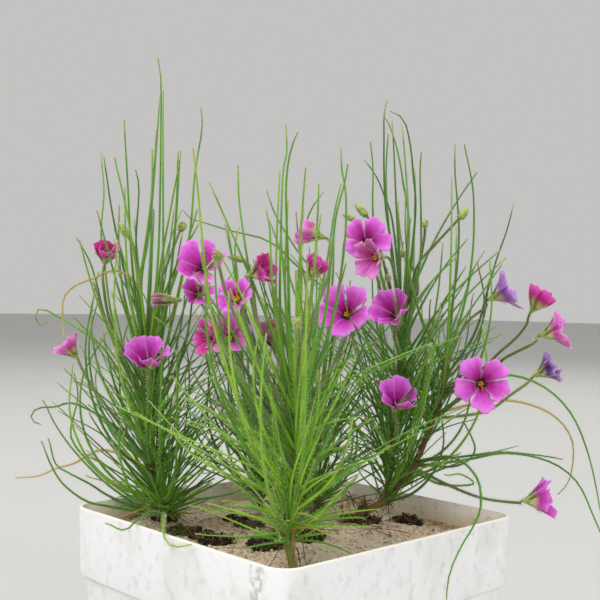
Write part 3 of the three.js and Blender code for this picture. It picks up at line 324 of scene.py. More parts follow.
PLANT_FRONT = PlantPlan(
    name=FRONT,
    seed=23,
    stems=[
        StemPlan(2.3, 1.6, [
            (294, 569, -85), (288, 534, -78), (295, 490, -66), (297, 440, -60), (294, 385, -56),
        ]),
    ],
    leaves=[
        [(193, 149), (198, 191), (203, 245), (215, 330), (250, 430), (292, 500)],
        [(238, 165), (239, 200), (244, 238), (251, 283), (256, 321), (268, 375), (296, 470)],
        [(286, 126), (287, 153), (283, 172), (281, 230), (280, 300), (284, 360), (296, 440)],
        [(298, 131), (290, 153), (286, 190), (288, 260), (290, 330), (295, 400)],
        [(280, 170), (277, 230), (276, 300), (282, 370), (296, 430)],
        [(288, 200), (285, 276), (288, 340), (295, 410)],
        [(227, 224), (231, 249), (240, 300), (262, 370), (296, 445)],
        [(239, 227), (235, 255), (246, 330), (296, 455)],
        [(319, 183), (317, 226), (311, 300), (295, 390)],
        [(324, 191), (311, 210), (302, 240), (297, 310), (295, 400)],
        [(341, 146), (342, 172), (346, 195), (344, 250), (330, 330), (296, 420)],
        [(348, 163), (344, 186), (336, 216), (331, 262), (322, 330), (296, 410)],
        [(341, 184), (334, 215), (327, 262), (312, 330), (295, 395)],
        [(266, 210), (270, 230), (271, 260), (276, 320), (296, 425)],
        [(184, 419), (200, 425), (218, 431), (236, 441), (257, 449), (294, 478)],
        [(185, 398), (205, 407), (222, 418), (240, 430), (262, 446), (296, 462)],
        [(175, 436), (187, 450), (199, 459), (212, 467), (242, 481), (263, 490), (292, 508)],
        [(206, 372), (222, 392), (246, 424), (296, 468)],
        [(300, 352), (302, 390), (300, 430), (296, 470)],
        [(318, 372), (316, 410), (306, 450), (293, 500)],
        [(332, 392), (330, 425), (318, 460), (293, 505)],
        [(352, 420), (346, 450), (328, 484), (291, 515)],
        [(358, 476), (344, 492), (322, 510), (290, 524)],
        [(236, 388), (250, 420), (272, 460), (291, 515)],
        [(222, 500), (244, 504), (268, 512), (289, 528)],
        [(262, 380), (272, 420), (284, 470), (290, 520)],
        [(330, 536, -96), (318, 530, -92), (304, 527, -86), (289, 530)],
        [(216, 455), (240, 468), (266, 488), (290, 518)],
    ],
    buds=[
        BudPlan(7, 2.9, [(218, 256), (219, 266), (236, 318), (295, 430)]),
        BudPlan(10.5, 2.1, [(237, 258.5), (244, 260), (249, 266), (253, 290), (262, 340), (295, 410)]),
        BudPlan(6, 2.6, [(297, 323), (300, 345), (295, 392)]),
    ],
    count=60,
    length=(90, 175),
    outline=[
        (262, 548), (216, 484), (182, 436), (180, 392), (200, 300), (204, 200), (240, 170), (286, 130),
        (342, 150), (350, 230), (340, 330), (348, 420), (352, 490), (322, 548),
    ],
)

PLANT_RIGHT = PlantPlan(
    name=RIGHT,
    seed=37,
    stems=[
        StemPlan(2.7, 1.6, [
            (341, 523, 27), (366, 511, 34), (388, 498, 40), (413, 466, 45), (430, 428, 44),
            (442, 392, 42), (446, 356, 40),
        ]),
        StemPlan(2, 1.9, [(388, 499, 40), (390, 470, 40), (394, 430, 40), (399, 370, 40), (403, 312, 40)]),
    ],
    leaves=[
        [(387, 101), (384, 115), (384, 134), (384, 172), (386, 210), (392, 250), (402, 330)],
        [(384, 115), (390, 126), (398, 153), (403, 182), (409, 230), (404, 325)],
        [(390, 111), (399, 115), (405, 122), (410, 143), (413, 172), (415, 220), (404, 340)],
        [(392, 122), (394, 153), (396, 200), (399, 260), (402, 345)],
        [(402, 123), (405, 160), (408, 210), (406, 270), (402, 350)],
        [(421, 151), (420, 178), (421, 220), (419, 268), (401, 360)],
        [(415, 168), (415, 200), (413, 250), (401, 355)],
        [(388, 134), (386, 180), (390, 240), (401, 335)],
        [(370, 142), (373, 168), (373, 216), (380, 270), (400, 350)],
        [(364, 159), (376, 176), (384, 195), (393, 225), (402, 320)],
        [(267, 191), (275, 214), (291, 241), (306, 262), (340, 300), (399, 372)],
        [
            (183, 210), (192, 220), (203, 222), (221, 228), (240, 233), (262, 238), (279, 248),
            (296, 265), (322, 286), (362, 316), (400, 362),
        ],
        [(455, 144), (455, 172), (458, 210), (459, 235), (457, 268), (453, 300), (446, 362)],
        [(464, 144), (472, 182), (474, 210), (473, 249), (468, 287), (460, 320), (445, 368)],
        [(514, 202), (507, 230), (497, 258), (488, 289), (474, 335), (444, 378)],
        [
            (445, 604, -68), (450, 572, -68), (462, 545, -64), (473, 527, -54), (481, 505, -38),
            (476, 476, -20), (452, 457, 14), (418, 462),
        ],
        [(562, 459), (536, 455), (500, 452), (468, 456), (418, 464)],
        [
            (606, 545, -6), (595, 520, -2), (577, 482, 4), (548, 461, 12), (505, 453, 22),
            (465, 460, 34), (416, 468),
        ],
        [
            (604, 530, 52), (600, 508, 54), (590, 460, 54), (575, 420, 52), (555, 395, 50),
            (530, 380, 48), (500, 376, 44), (441, 396),
        ],
        [(558, 495), (570, 478), (572, 440), (548, 412), (500, 400), (436, 412)],
        [(463, 420), (475, 450), (456, 466), (416, 466)],
        [(445, 477), (460, 474), (474, 484), (440, 484), (412, 470)],
        [(472, 305), (462, 330), (446, 372)],
        [(352, 340), (362, 372), (380, 420), (392, 455)],
        [(430, 300), (428, 340), (420, 390), (396, 425)],
        [(366, 402), (372, 430), (384, 462), (390, 480)],
        [(432, 352), (424, 392), (410, 430), (394, 448)],
    ],
    buds=[
        BudPlan(12, 3, [(361.5, 210.5), (369, 219), (379, 245), (390, 290), (401, 340)]),
        BudPlan(9, 3.2, [(463, 214), (456, 222), (433, 247), (416, 270), (402, 338)]),
        BudPlan(5, 2.4, [(425, 224), (424, 240), (416, 280), (402, 330)]),
        BudPlan(8.5, 2.8, [(401, 252.5), (407, 256), (412, 267), (418, 284), (414, 308), (402, 340)]),
        BudPlan(5, 2.2, [(388, 278), (391, 292), (401, 336)]),
        BudPlan(8, 2.2, [(349, 217.5), (357, 221), (364, 232), (381, 275), (401, 345)]),
    ],
    count=74,
    length=(80, 165),
    outline=[
        (384, 502), (362, 420), (346, 320), (352, 230), (368, 160), (388, 106), (414, 140), (430, 200),
        (452, 150), (474, 170), (492, 230), (500, 300), (500, 380), (540, 430), (548, 470), (470, 490),
        (420, 506),
    ],
)

PLANT_REAR = PlantPlan(
    name=REAR,
    seed=41,
    stems=[
        StemPlan(2.2, 1.6, [(312, 511, 52), (314, 474, 52), (318, 430, 53), (321, 392, 54)]),
    ],
    leaves=[
        [(296, 212), (300, 254), (308, 300), (321, 400)],
        [(334, 232), (332, 290), (322, 398)],
        [(262, 300), (280, 350), (319, 425)],
        [(356, 300), (350, 350), (321, 410)],
        [(368, 372), (352, 410), (316, 448)],
        [(372, 462), (350, 474), (313, 488)],
    ],
    buds=[],
    count=52,
    length=(85, 165),
    outline=[
        (240, 510), (216, 440), (208, 380), (226, 290), (262, 200), (300, 176), (344, 184), (362, 260),
        (372, 380), (376, 470), (352, 514),
    ],
)

PLANT_LEFT_REAR = PlantPlan(
    name=LEFT_REAR,
    seed=53,
    stems=[
        StemPlan(2.1, 1.5, [(262, 504, 60), (258, 470, 60), (252, 432, 61), (250, 405, 62)]),
    ],
    leaves=[
        [(196, 382), (210, 398), (232, 428), (254, 446)],
        [(206, 330), (220, 362), (240, 404), (252, 432)],
        [(236, 300), (240, 350), (250, 415)],
        [(190, 452), (214, 462), (256, 476)],
    ],
    buds=[],
    count=36,
    length=(70, 130),
    outline=[
        (236, 510), (192, 478), (184, 410), (192, 330), (226, 262), (262, 300), (288, 380), (300, 450),
        (292, 508),
    ],
)

BLOOMS = [
    BloomPlan((107, 252), 4, (0.25, 0.72, 0.6), 15, 13, LEFT, [(103, 282), (113, 330), (149, 392)],
              tone=Tone.CRIMSON),
    BloomPlan((68, 347), 28, (-0.6, 0.77, 0.2), 34, 13, LEFT, [(81, 367), (102, 400), (155, 470)],
              tone=Tone.ROSE),
    BloomPlan((147.5, 356), -16, (0.05, 0.76, 0.65), 44, 19.5, LEFT, [(148, 380), (149, 412)], points=-85,
              leans=(46, 18)),
    BloomPlan((201.5, 264), -50, (-0.1, 0.5, 0.85), 45, 19, FRONT, [(208, 300), (236, 370), (295, 452)],
              points=130, leans=(50, 40)),
    BloomPlan((199, 292), -24, (0.1, 0.4, 0.9), 44, 12.5, FRONT, [(210, 318), (248, 390), (295, 462)],
              leans=(50, 40)),
    BloomPlan((234.6, 296.4), -64, (-0.35, 0.4, 0.85), 58, 14.5, FRONT,
              [(242, 320), (260, 380), (296, 440)], points=-20),
    BloomPlan((208, 337), -74, (-0.8, 0.15, 0.55), 45, 14, FRONT, [(222, 348), (256, 400), (295, 470)],
              tone=Tone.CRIMSON),
    BloomPlan((229.4, 335), -42, (0, 0.45, 0.9), 58, 17, FRONT, [(238, 356), (262, 400), (296, 455)],
              points=90, tone=Tone.ROSE),
    BloomPlan((263, 270), -62, (0.85, 0.35, 0.4), 30, 14, FRONT, [(248, 284), (262, 340), (295, 415)],
              tone=Tone.CRIMSON),
    BloomPlan((307, 232.5), -44, (-0.95, 0.25, 0.15), 12, 14, FRONT,
              [(331, 245), (327, 280), (300, 350), (295, 395)], tone=Tone.ROSE),
    BloomPlan((316, 266), -64, (0.5, 0.83, 0.2), 14, 12, FRONT, [(307, 292), (302, 340), (295, 400)],
              tone=Tone.CRIMSON),
    BloomPlan((367, 241), 16, (0, 0.15, 1), 66, 19.5, RIGHT, [(374, 266), (386, 310), (401, 350)],
              points=68),
    BloomPlan((371, 258), -14, (-0.8, -0.1, 0.6), 56, 16.5, RIGHT, [(392, 264), (399, 300), (402, 340)],
              tone=Tone.ROSE),
    BloomPlan((344.6, 311.5), -24, (-0.3, 0.35, 0.9), 68, 21.5, FRONT,
              [(343, 345), (322, 385), (297, 430)], points=-21),
    BloomPlan((391.5, 311), -4, (-0.5, 0.5, 0.7), 44, 19, RIGHT, [(394, 334), (398, 352), (399, 375)],
              points=180, leans=(46, 34)),
    BloomPlan((398, 398), 4, (0.1, 0.76, 0.65), 44, 19.5, RIGHT, [(397, 422), (396, 440), (393, 455)],
              points=-83, leans=(46, 16)),
    BloomPlan((482.5, 384), -4, (0, 0.05, 1), 76, 22, RIGHT, [(474, 390), (456, 402), (433, 422)],
              points=-18.5),
    BloomPlan((505, 292), 48, (0.87, 0.45, 0.25), 60, 20.5, RIGHT, [(486, 307), (466, 324), (445, 364)],
              tone=Tone.VIOLET),
    BloomPlan((540, 299), 34, (0.54, 0.84, 0.1), 17, 16, RIGHT,
              [(527, 324), (516, 338), (500, 352), (478, 372), (443, 388)], leans=(48, -6),
              tone=Tone.CRIMSON),
    BloomPlan((557, 331), 6, (0.9, 0.3, 0.3), 52, 18, RIGHT,
              [(534, 343), (505, 358), (486, 374), (442, 392)], tone=Tone.ROSE),
    BloomPlan((549, 369), 24, (0.8, 0.45, 0.3), 30, 14, RIGHT,
              [(530, 381), (512, 394), (484, 412), (433, 420)], tone=Tone.WILTED),
    BloomPlan((542, 499), 12, (0.97, 0.15, 0.15), 32, 19, RIGHT,
              [(520, 503), (482, 498), (446, 484), (414, 468)]),
    BloomPlan((160, 299.5), -22, (-1, 0.03, 0.1), 8, 12.5, LEFT, [(176, 302), (170, 318), (148, 345)],
              leans=(11, -5), tone=Tone.FADED),
    BloomPlan((271.5, 333), -24, (-0.15, 0.85, 0.45), 26, 17, FRONT, [(280, 364), (287, 395), (296, 430)],
              leans=(24, 18), tone=Tone.FADED),
]

TIERS = {
    LEFT: (Tier(164, 506, 60), Tier(155, 468, 50), Tier(149, 432, 36), Tier(148, 395, 20),
           Tier(163, 513, 24, (0.8, 1.5), (18, 50))),
    FRONT: (Tier(293, 514, 36), Tier(296, 486, 40), Tier(297, 450, 28), Tier(296, 415, 14),
            Tier(291, 540, 22, (0.6, 1.6), (20, 60)), Tier(291, 530, 16, (0.9, 1.4), (40, 60))),
    RIGHT: (Tier(384, 494, 40), Tier(399, 466, 50), Tier(402, 430, 40), Tier(404, 390, 25),
            Tier(436, 420, 35)),
    REAR: (Tier(313, 498, 40), Tier(317, 465, 40), Tier(319, 430, 25),
           Tier(318, 505, 50, (0.3, 1.3), (20, 50))),
    LEFT_REAR: (Tier(259, 492, 30), Tier(254, 455, 25)),
}
STEM_GREENS = {LEFT: 0.85, FRONT: 0.92, RIGHT: 0.45, REAR: 0.6}


class Curve:
    """A smooth curve through a few points, with places spaced evenly by length."""

    DIVISIONS = 200
    NEAR = 1e-4

    def __init__(self, points: Iterable[Array]) -> None:
        """Pass a curve through the points."""
        self.points = np.array(list(points), dtype=float)
        before = 2 * self.points[0] - self.points[1]
        after = 2 * self.points[-1] - self.points[-2]
        self.knots = np.vstack((before, self.points, after))
        self.steps = np.linspace(0.0, 1.0, self.DIVISIONS + 1)
        chords = np.linalg.norm(np.diff(self.at(self.steps), axis=0), axis=1)
        self.lengths = np.concatenate(([0.0], np.cumsum(chords)))
        self.length = float(self.lengths[-1])

    def at(self, steps: Array) -> Array:
        """Return places at steps from 0 to 1, each stretch between points taking an equal step."""
        spans = len(self.points) - 1
        scaled = np.clip(steps, 0.0, 1.0) * spans
        span = np.minimum(scaled.astype(int), spans - 1)
        w = (scaled - span)[:, None]
        p0, p1, p2, p3 = (self.knots[span + i] for i in range(4))
        t0 = (p2 - p0) / 2
        t1 = (p3 - p1) / 2
        return p1 + w * (t0 + w * (3 * (p2 - p1) - 2 * t0 - t1 + w * (2 * (p1 - p2) + t0 + t1)))

    def step_at(self, shares: Array) -> Array:
        """Return the steps at shares of the length."""
        return np.interp(np.asarray(shares) * self.length, self.lengths, self.steps)

    def spaced(self, shares: Array) -> Array:
        """Return the places at shares of the length."""
        return self.at(self.step_at(shares))

    def headings(self, shares: Array) -> Array:
        """Return the directions in which the curve runs at shares of the length."""
        steps = self.step_at(shares)
        return unit(self.at(steps + self.NEAR) - self.at(steps - self.NEAR))


@dataclass(frozen=True)
class Gauge:
    """How thick a thread is: for keeping room, and as it is shown."""

    root: float
    tip: float
    shown_root: float
    shown_tip: float
    hair: float = 1.0


LEAF = Gauge(root=1.3, tip=0.42, shown_root=1.1, shown_tip=0.42)
STALK = Gauge(root=1.0, tip=0.95, shown_root=1.05, shown_tip=0.85, hair=1.1)


class Thread:
    """A leaf, stalk or stem along a smooth curve, with the balls that keep its room."""

    THINNING = 1.3
    SEGMENT_LENGTH = 90.0
    SEGMENT_TURN = 0.6
    FEWEST = 3
    MOST = 10
    TURN_TESTS = 16
    TEST_STEP = 2.0

    def __init__(self, points: Iterable[Array], gauge: Gauge, segments: int = 0) -> None:
        """Lay a thread through points.

        Args:
            points: Places from the root to the tip.
            gauge: How thick it is.
            segments: Straight stretches it keeps room with, or 0 for as many as its turns need.
        """
        self.curve = Curve(points)
        self.gauge = gauge
        self.segments = segments or self.segments_needed()
        self.centres = self.curve.spaced(np.linspace(0.0, 1.0, self.segments + 1))

    def segments_needed(self) -> int:
        """Return the number of stretches: more for a longer or more curled thread."""
        headings = self.curve.headings(np.linspace(0.0, 1.0, self.TURN_TESTS + 1))
        cosines = np.clip(np.sum(headings[1:] * headings[:-1], axis=1), -1.0, 1.0)
        turning = float(np.sum(np.arccos(cosines)))
        wanted = math.floor(self.curve.length / self.SEGMENT_LENGTH + turning / self.SEGMENT_TURN + 0.5)
        return max(self.FEWEST, min(self.MOST, wanted))

    def radius_at(self, share: float) -> float:
        """Return the radius of the room kept at a share of the length."""
        return lerp(self.gauge.root, self.gauge.tip, share ** self.THINNING)

    @cached_property
    def trail(self) -> Array:
        """Balls close together along the straight stretches, as rows of x, y, z and radius."""
        rows = []
        for i in range(self.segments):
            start, end = self.centres[i], self.centres[i + 1]
            steps = max(1, math.ceil(float(np.linalg.norm(end - start)) / self.TEST_STEP))
            for step in range(steps):
                radius = self.radius_at((i + step / steps) / self.segments)
                rows.append((*(start + (end - start) * (step / steps)), radius))
        rows.append((*self.centres[-1], self.gauge.tip))
        return np.array(rows)


@dataclass(frozen=True)
class PlanterForm:
    """The planter's sizes: half widths at heights, outside and inside, and its soil's surface."""

    height: float = 185.0
    corner: float = 14.0
    inner_corner: float = 11.6
    floor: float = 3.0
    drain_radius: float = 5.0
    drain_offset: float = 45.0
    soil_top: float = 171.0
    outer: tuple[Place, ...] = (
        (0.0, 81.5), (1.5, 83.0), (140.4, 96.8), (143.0, 99.2), (184.4, 100.0), (185.0, 99.4),
    )
    inner: tuple[Place, ...] = ((185.0, 98.0), (142.4, 96.8), (139.8, 94.4), (3.0, 80.6))

    def half_width(self, profile: tuple[Place, ...], z: Array) -> Array:
        """Return the half widths of a profile at heights."""
        rising = sorted(profile)
        return np.interp(z, [row[0] for row in rising], [row[1] for row in rising])

    def reach(self, x: Array, y: Array) -> Array:
        """Return the half width of the rounded square that passes through (x, y)."""
        wide = np.maximum(np.abs(x), np.abs(y))
        narrow = np.minimum(np.abs(x), np.abs(y))
        gap = np.minimum(wide - narrow, self.corner)
        bend = np.sqrt(2 * self.corner ** 2 - gap ** 2)
        return np.where(narrow <= wide - self.corner, wide, (wide + narrow - bend) / 2 + self.corner)

    def soil_height(self, x: Array, y: Array) -> Array:
        """Return the height of the soil at (x, y): a broad swell and a finer ripple."""
        broad = np.sin(x / 31 + 0.4) * np.cos(y / 36)
        fine = np.sin(x / 11 + y / 14) * np.cos(x / 17 - y / 9)
        return self.soil_top + 1.6 * broad + 0.8 * fine

    def is_hit(self, points: Array, radii: Array) -> Array:
        """Return whether balls touch the planter, its soil or, outside it, the floor.

        Args:
            points: The balls' middles, as rows.
            radii: Their radii with the free gap.

        Returns:
            One truth value for each ball.
        """
        x, y, z = points.T
        reach = self.reach(x, y)
        level = np.minimum(z, self.height)
        outside = reach > self.half_width(self.outer, level) + radii
        in_wall = reach > self.half_width(self.inner, level) - radii
        below = np.where(outside, z < radii, in_wall | (z < self.soil_height(x, y) + radii))
        return below & (z <= self.height + radii)


FORM = PlanterForm()


class Room:
    """Which room is taken, and by which piece, as a grid of small balls."""

    CELL = 6.0
    CROWD = 5.0
    SOIL = 6.0
    BETWEEN_TESTS = 2.0

    def __init__(self) -> None:
        """Start with no ball."""
        self.cells: dict[tuple[int, int, int], list[tuple]] = {}

    def add(self, owner: str, balls: Array) -> None:
        """Take room for balls, given as rows of x, y, z and radius."""
        for x, y, z, radius in balls.tolist():
            cx, cy, cz = (math.floor(value / self.CELL) for value in (x, y, z))
            ball = (owner, x, y, z, radius)
            for i in (cx - 1, cx, cx + 1):
                for j in (cy - 1, cy, cy + 1):
                    for k in (cz - 1, cz, cz + 1):
                        self.cells.setdefault((i, j, k), []).append(ball)

    def touches(self, crossed: frozenset[str], x: float, y: float, z: float, radius: float) -> bool:
        """Return whether a ball comes nearer than the gap to one of an owner that isn't crossed."""
        cell = (math.floor(x / self.CELL), math.floor(y / self.CELL), math.floor(z / self.CELL))
        for owner, bx, by, bz, other in self.cells.get(cell, ()):
            if owner in crossed:
                continue
            least = (radius + other + GAP) ** 2 + self.BETWEEN_TESTS
            if (bx - x) ** 2 + (by - y) ** 2 + (bz - z) ** 2 < least:
                return True
        return False

    def is_free(self, owner: str, balls: Array, crossed: frozenset[str] = frozenset()) -> bool:
        """Return whether a thread keeps clear of all that stands.

        Args:
            owner: The plant that the thread belongs to.
            balls: The thread's balls, from its root.
            crossed: The plants whose threads it may cross.

        Returns:
            True where nothing is touched.
        """
        far = np.linalg.norm(balls[:, :3] - balls[0, :3], axis=1)
        if np.any((far >= self.SOIL) & FORM.is_hit(balls[:, :3], balls[:, 3] + GAP)):
            return False
        for distance, ball in zip(far.tolist(), balls.tolist()):
            if self.touches(crossed | {owner} if distance < self.CROWD else crossed, *ball):
                return False
        return True


class Bloom:
    """A flower on its own axes: Z along the way it faces, the rim of its cup at the origin."""

    PETALS = 5
    DISC_RADIUS = 2.0
    CUP_HEIGHT = -0.4
    PETAL_HEIGHT = 0.7
    STAMEN_HEIGHT = 1.4
    STALK_BEND = 6.0
    OPEN_FOR_STAMENS = 46.0
    WIDTH = 0.84
    HALF_TURN = 0.58
    FOOT = 0.15
    WIDENING = 0.85
    ROUNDING = 0.13
    FLARE = 1.3
    STEPS = 24
    HEART = (4.0, 4.5)
    PETAL_BALL = 2.0
    BALL_STEPS = 5

    def __init__(self, plan: BloomPlan, index: int) -> None:
        """Set a flower in its place.

        Args:
            plan: The flower as drawn.
            index: Its place in the list of flowers, which sets how it is turned.
        """
        self.plan = plan
        self.label = f"{index + 1:02d}"
        self.seed = index
        right, up, towards = plan.face
        self.axis = unit(VIEW.across * right + UP * up - VIEW.away * towards)
        self.turn = np.array(Vector(UP).rotation_difference(Vector(self.axis)).to_matrix())
        self.spin = index * GOLDEN_TURN
        if plan.points is not None:
            angle = math.radians(plan.points)
            way = (VIEW.across * math.cos(angle) + UP * math.sin(angle)) @ self.turn
            self.spin = math.atan2(way[1], way[0])
        leans = plan.leans or (40.0 - 0.1 * plan.open, 1.68 * plan.open - 24.6)
        self.leans = tuple(math.radians(value) for value in leans)
        lean = self.lean((np.arange(self.STEPS) + 0.5) / self.STEPS)
        self.out = np.concatenate(([0.0], np.cumsum(np.sin(lean)))) / self.STEPS
        self.rise = np.concatenate(([0.0], np.cumsum(np.cos(lean)))) / self.STEPS
        middle = float(self.petal_line(np.array(0.5))[1])
        self.origin = VIEW.place(*plan.at, plan.away) - self.axis * middle

    @property
    def has_stamens(self) -> bool:
        """Whether the flower is open enough to show its stamens."""
        return self.plan.open > self.OPEN_FOR_STAMENS

    def lean(self, along: Array) -> Array:
        """Return a petal's lean from the flower's axis at shares of its length, in radians."""
        return lerp(*self.leans, along ** self.FLARE)

    def petal_line(self, along: Array) -> tuple[Array, Array]:
        """Return a petal's midline: distance from the flower's axis and height along it."""
        ends = np.linspace(0.0, 1.0, self.STEPS + 1)
        out, rise = (np.interp(along, ends, table) for table in (self.out, self.rise))
        return self.DISC_RADIUS + self.plan.petal * out, self.PETAL_HEIGHT + self.plan.petal * rise

    def to_model(self, radius: Array, angle: Array, height: Array) -> Array:
        """Return places given by distance from the axis, angle round it and height along it."""
        radius, angle, height = np.broadcast_arrays(radius, angle, height)
        local = np.stack((radius * np.cos(angle), radius * np.sin(angle), height), axis=-1)
        return local @ self.turn.T + self.origin

    def petal_angles(self, number: int, along: Array, across: Array,
                     most: Array | float = HALF_TURN) -> tuple:
        """Return a petal's surface on the flower's own axes.

        Args:
            number: Which petal.
            along: Shares from the foot to the tip.
            across: Shares across, from -1 to 1.
            most: The most that half the petal turns round the flower, in radians.

        Returns:
            Distances from the axis, angles round it and heights along it.
        """
        radius, height = self.petal_line(along * (1 - self.ROUNDING * along * across ** 2))
        half = self.plan.petal * self.WIDTH * lerp(self.FOOT, 1.0, along ** self.WIDENING) / 2
        limit = np.minimum(half / radius, most)
        middle = self.spin + number * math.tau / self.PETALS
        return radius, middle + across * limit, height

    def balls(self) -> Array:
        """Return the balls that keep the corolla's room, as rows of x, y, z and radius."""
        height, radius = self.HEART
        rows = [(*self.to_model(0.0, 0.0, height), radius)]
        for number in range(self.PETALS):
            for row in range(1, self.BALL_STEPS + 1):
                for column in range(self.BALL_STEPS + 1):
                    along = np.array(row / self.BALL_STEPS)
                    across = np.array(2 * column / self.BALL_STEPS - 1)
                    place = self.to_model(*self.petal_angles(number, along, across))
                    rows.append((*place, self.PETAL_BALL))
        return np.array(rows)

    def stalk_ends(self) -> list[Array]:
        """Return the place a little below the cup and the one in it."""
        return [self.to_model(0.0, 0.0, self.CUP_HEIGHT - drop) for drop in (self.STALK_BEND, 0.0)]

    def sepal(self, number: int, length: float, spread: float) -> tuple[list[Array], Array]:
        """Return the places that a sepal passes, from the cup to its tip.

        Args:
            number: Which sepal.
            length: How long it is, in millimetres.
            spread: How far its tip stands off the petals, in millimetres.

        Returns:
            Points along its middle, and its side.
        """
        angle = self.spin + (number + 0.5) * math.tau / self.PETALS
        points = [self.to_model(1.4, angle, self.CUP_HEIGHT - 1.6)]
        for share in (0.3, 0.65, 1.0):
            radius, height = self.petal_line(np.array(share * length / self.plan.petal))
            off = 0.75 + spread * share ** 2
            points.append(self.to_model(float(radius) + off * 0.8, angle, float(height) - off * 0.6))
        return points, self.turn @ np.array((-math.sin(angle), math.cos(angle), 0.0))


class Plant:
    """A plant: its stems, and the leaves, stalks and buds that grow from them."""

    EASE = 1.4
    LEAF_SPREAD = 34.0
    BUD_SPREAD = 20.0
    STALK_SHARE = 0.8
    SHIFTS = (0, 6, -6, 12, -12, 20, -20, 30, -30)
    DRAWN_WITH_DEPTH = 9
    STEM_SEGMENTS = 9
    LEAN_FROM = 1.3
    BARE = 3.0
    CUP_ROOM = 4.5
    OUTSIDE = 0.08
    LOW = 60.0
    SIGHT = 1.4
    RULE_STEPS = 4
    RULE_SWAY = 0.25
    TIER_STEPS = 3
    TIER_SWAY = 0.9
    TIER_WIDTH = 8
    TIER_HEIGHT = 22
    TIER_SEEDS = 7

    def __init__(self, plan: PlantPlan, room: Room) -> None:
        """Stand a plant's stems in the soil.

        Args:
            plan: The plant as drawn.
            room: The room that is taken so far.
        """
        self.plan = plan
        self.name = plan.name
        self.room = room
        self.stems: list[Thread] = []
        self.leaves: list[Thread] = []
        self.short_leaves: list[Thread] = []
        self.stalks: list[Thread] = []
        self.buds: list[tuple[BudPlan, Thread]] = []
        self.blooms: list[Bloom] = []
        places = []
        for index, stem in enumerate(plan.stems):
            points = [VIEW.place(*place) for place in stem.course]
            if index == 0:
                foot = points[0]
                foot[2] = FORM.soil_height(foot[0], foot[1]) + self.LEAN_FROM * stem.radius
            gauge = Gauge(stem.radius, stem.tip, stem.radius, stem.tip)
            thread = Thread(points, gauge, self.STEM_SEGMENTS)
            self.stems.append(thread)
            room.add(self.name, thread.trail)
            places += [row[:3] for row in thread.trail if row[2] > FORM.soil_top + self.BARE]
        self.stem_places = np.array(places)
        self.stem_pictures = np.array([VIEW.picture(place) for place in places])
        self.foot = self.stems[0].centres[0]

    def nearest(self, place: Place) -> Array:
        """Return the place on the stems nearest to (x, y) of the picture."""
        gaps = np.linalg.norm(self.stem_pictures - np.array(place[:2]), axis=1)
        return self.stem_places[int(np.argmin(gaps))]

    def trace(self, course: Course, tip_away: float) -> list[Array]:
        """Return the places of a course from the stem outwards.

        Args:
            course: Places in the picture, from the tip to the root.
            tip_away: How much further away the tip lies than the stem, where no depth is given.

        Returns:
            Points, the first of them on the stem.
        """
        outward = course[::-1]
        root = self.nearest(outward[0])
        root_away = float(root @ VIEW.away)
        flat = np.array([place[:2] for place in outward], dtype=float)
        lengths = np.concatenate(([0.0], np.cumsum(np.linalg.norm(np.diff(flat, axis=0), axis=1))))
        points = [root]
        for place, length in zip(outward[1:], lengths[1:]):
            share = float(length / lengths[-1])
            away = place[2] if len(place) == 3 else root_away + tip_away * share ** self.EASE
            points.append(VIEW.place(place[0], place[1], away))
        return points

    def drawn(self, course: Course, tip_away: float, gauge: Gauge) -> Thread | None:
        """Return a drawn thread at the first depth where it stands clear, or None.

        Args:
            course: Places in the picture, from the tip to the root.
            tip_away: How much further away the tip lies than the stem.
            gauge: How thick it is.

        Returns:
            The thread, which has taken its room.
        """
        segments = self.DRAWN_WITH_DEPTH if len(course[0]) == 3 else 0
        thread = self.first_clear(
            [Thread(self.trace(course, tip_away + shift), gauge, segments) for shift in self.SHIFTS])
        if thread:
            self.room.add(self.name, thread.trail)
        return thread

    def first_clear(self, threads: list[Thread], cup: Array | None = None) -> Thread | None:
        """Return the first thread that stands clear, or else one that crosses only its own plant.

        Args:
            threads: The threads to choose from.
            cup: The flower's cup, near which a stalk isn't tested.

        Returns:
            The thread, or None.
        """
        for crossed in (frozenset(), frozenset({self.name})):
            for thread in threads:
                balls = thread.trail
                if cup is not None:
                    balls = balls[np.linalg.norm(balls[:, :3] - cup, axis=1) > self.CUP_ROOM]
                if self.room.is_free(self.name, balls, crossed):
                    return thread
        return None

    def add_bloom(self, bloom: Bloom) -> None:
        """Grow the stalk of a flower."""
        below_cup, in_cup = bloom.stalk_ends()
        towards = bloom.plan.away - float(self.nearest(bloom.plan.stalk[-1]) @ VIEW.away)
        threads = [
            Thread([*self.trace(bloom.plan.stalk, (towards + shift) * self.STALK_SHARE), below_cup, in_cup],
                   STALK)
            for shift in self.SHIFTS
        ]
        chosen = self.first_clear(threads, in_cup) or threads[0]
        self.room.add(self.name, chosen.trail)
        self.stalks.append(chosen)
        self.blooms.append(bloom)

    def add_buds(self) -> None:
        """Grow the buds on their stalks."""
        for index, bud in enumerate(self.plan.buds):
            spread = self.BUD_SPREAD * math.cos(GOLDEN_TURN * index + self.plan.seed)
            thread = self.drawn(bud.course, spread, STALK)
            if thread:
                self.buds.append((bud, thread))
                self.stalks.append(thread)
                size = max(bud.radius, bud.length / 2)
                self.room.add(self.name, np.array([(*thread.centres[-1], size)]))

    def add_leaves(self) -> None:
        """Grow the leaves that are drawn."""
        for index, course in enumerate(self.plan.leaves):
            spread = self.LEAF_SPREAD * math.sin(GOLDEN_TURN * index + self.plan.seed)
            thread = self.drawn(course, spread, LEAF)
            if thread:
                self.leaves.append(thread)

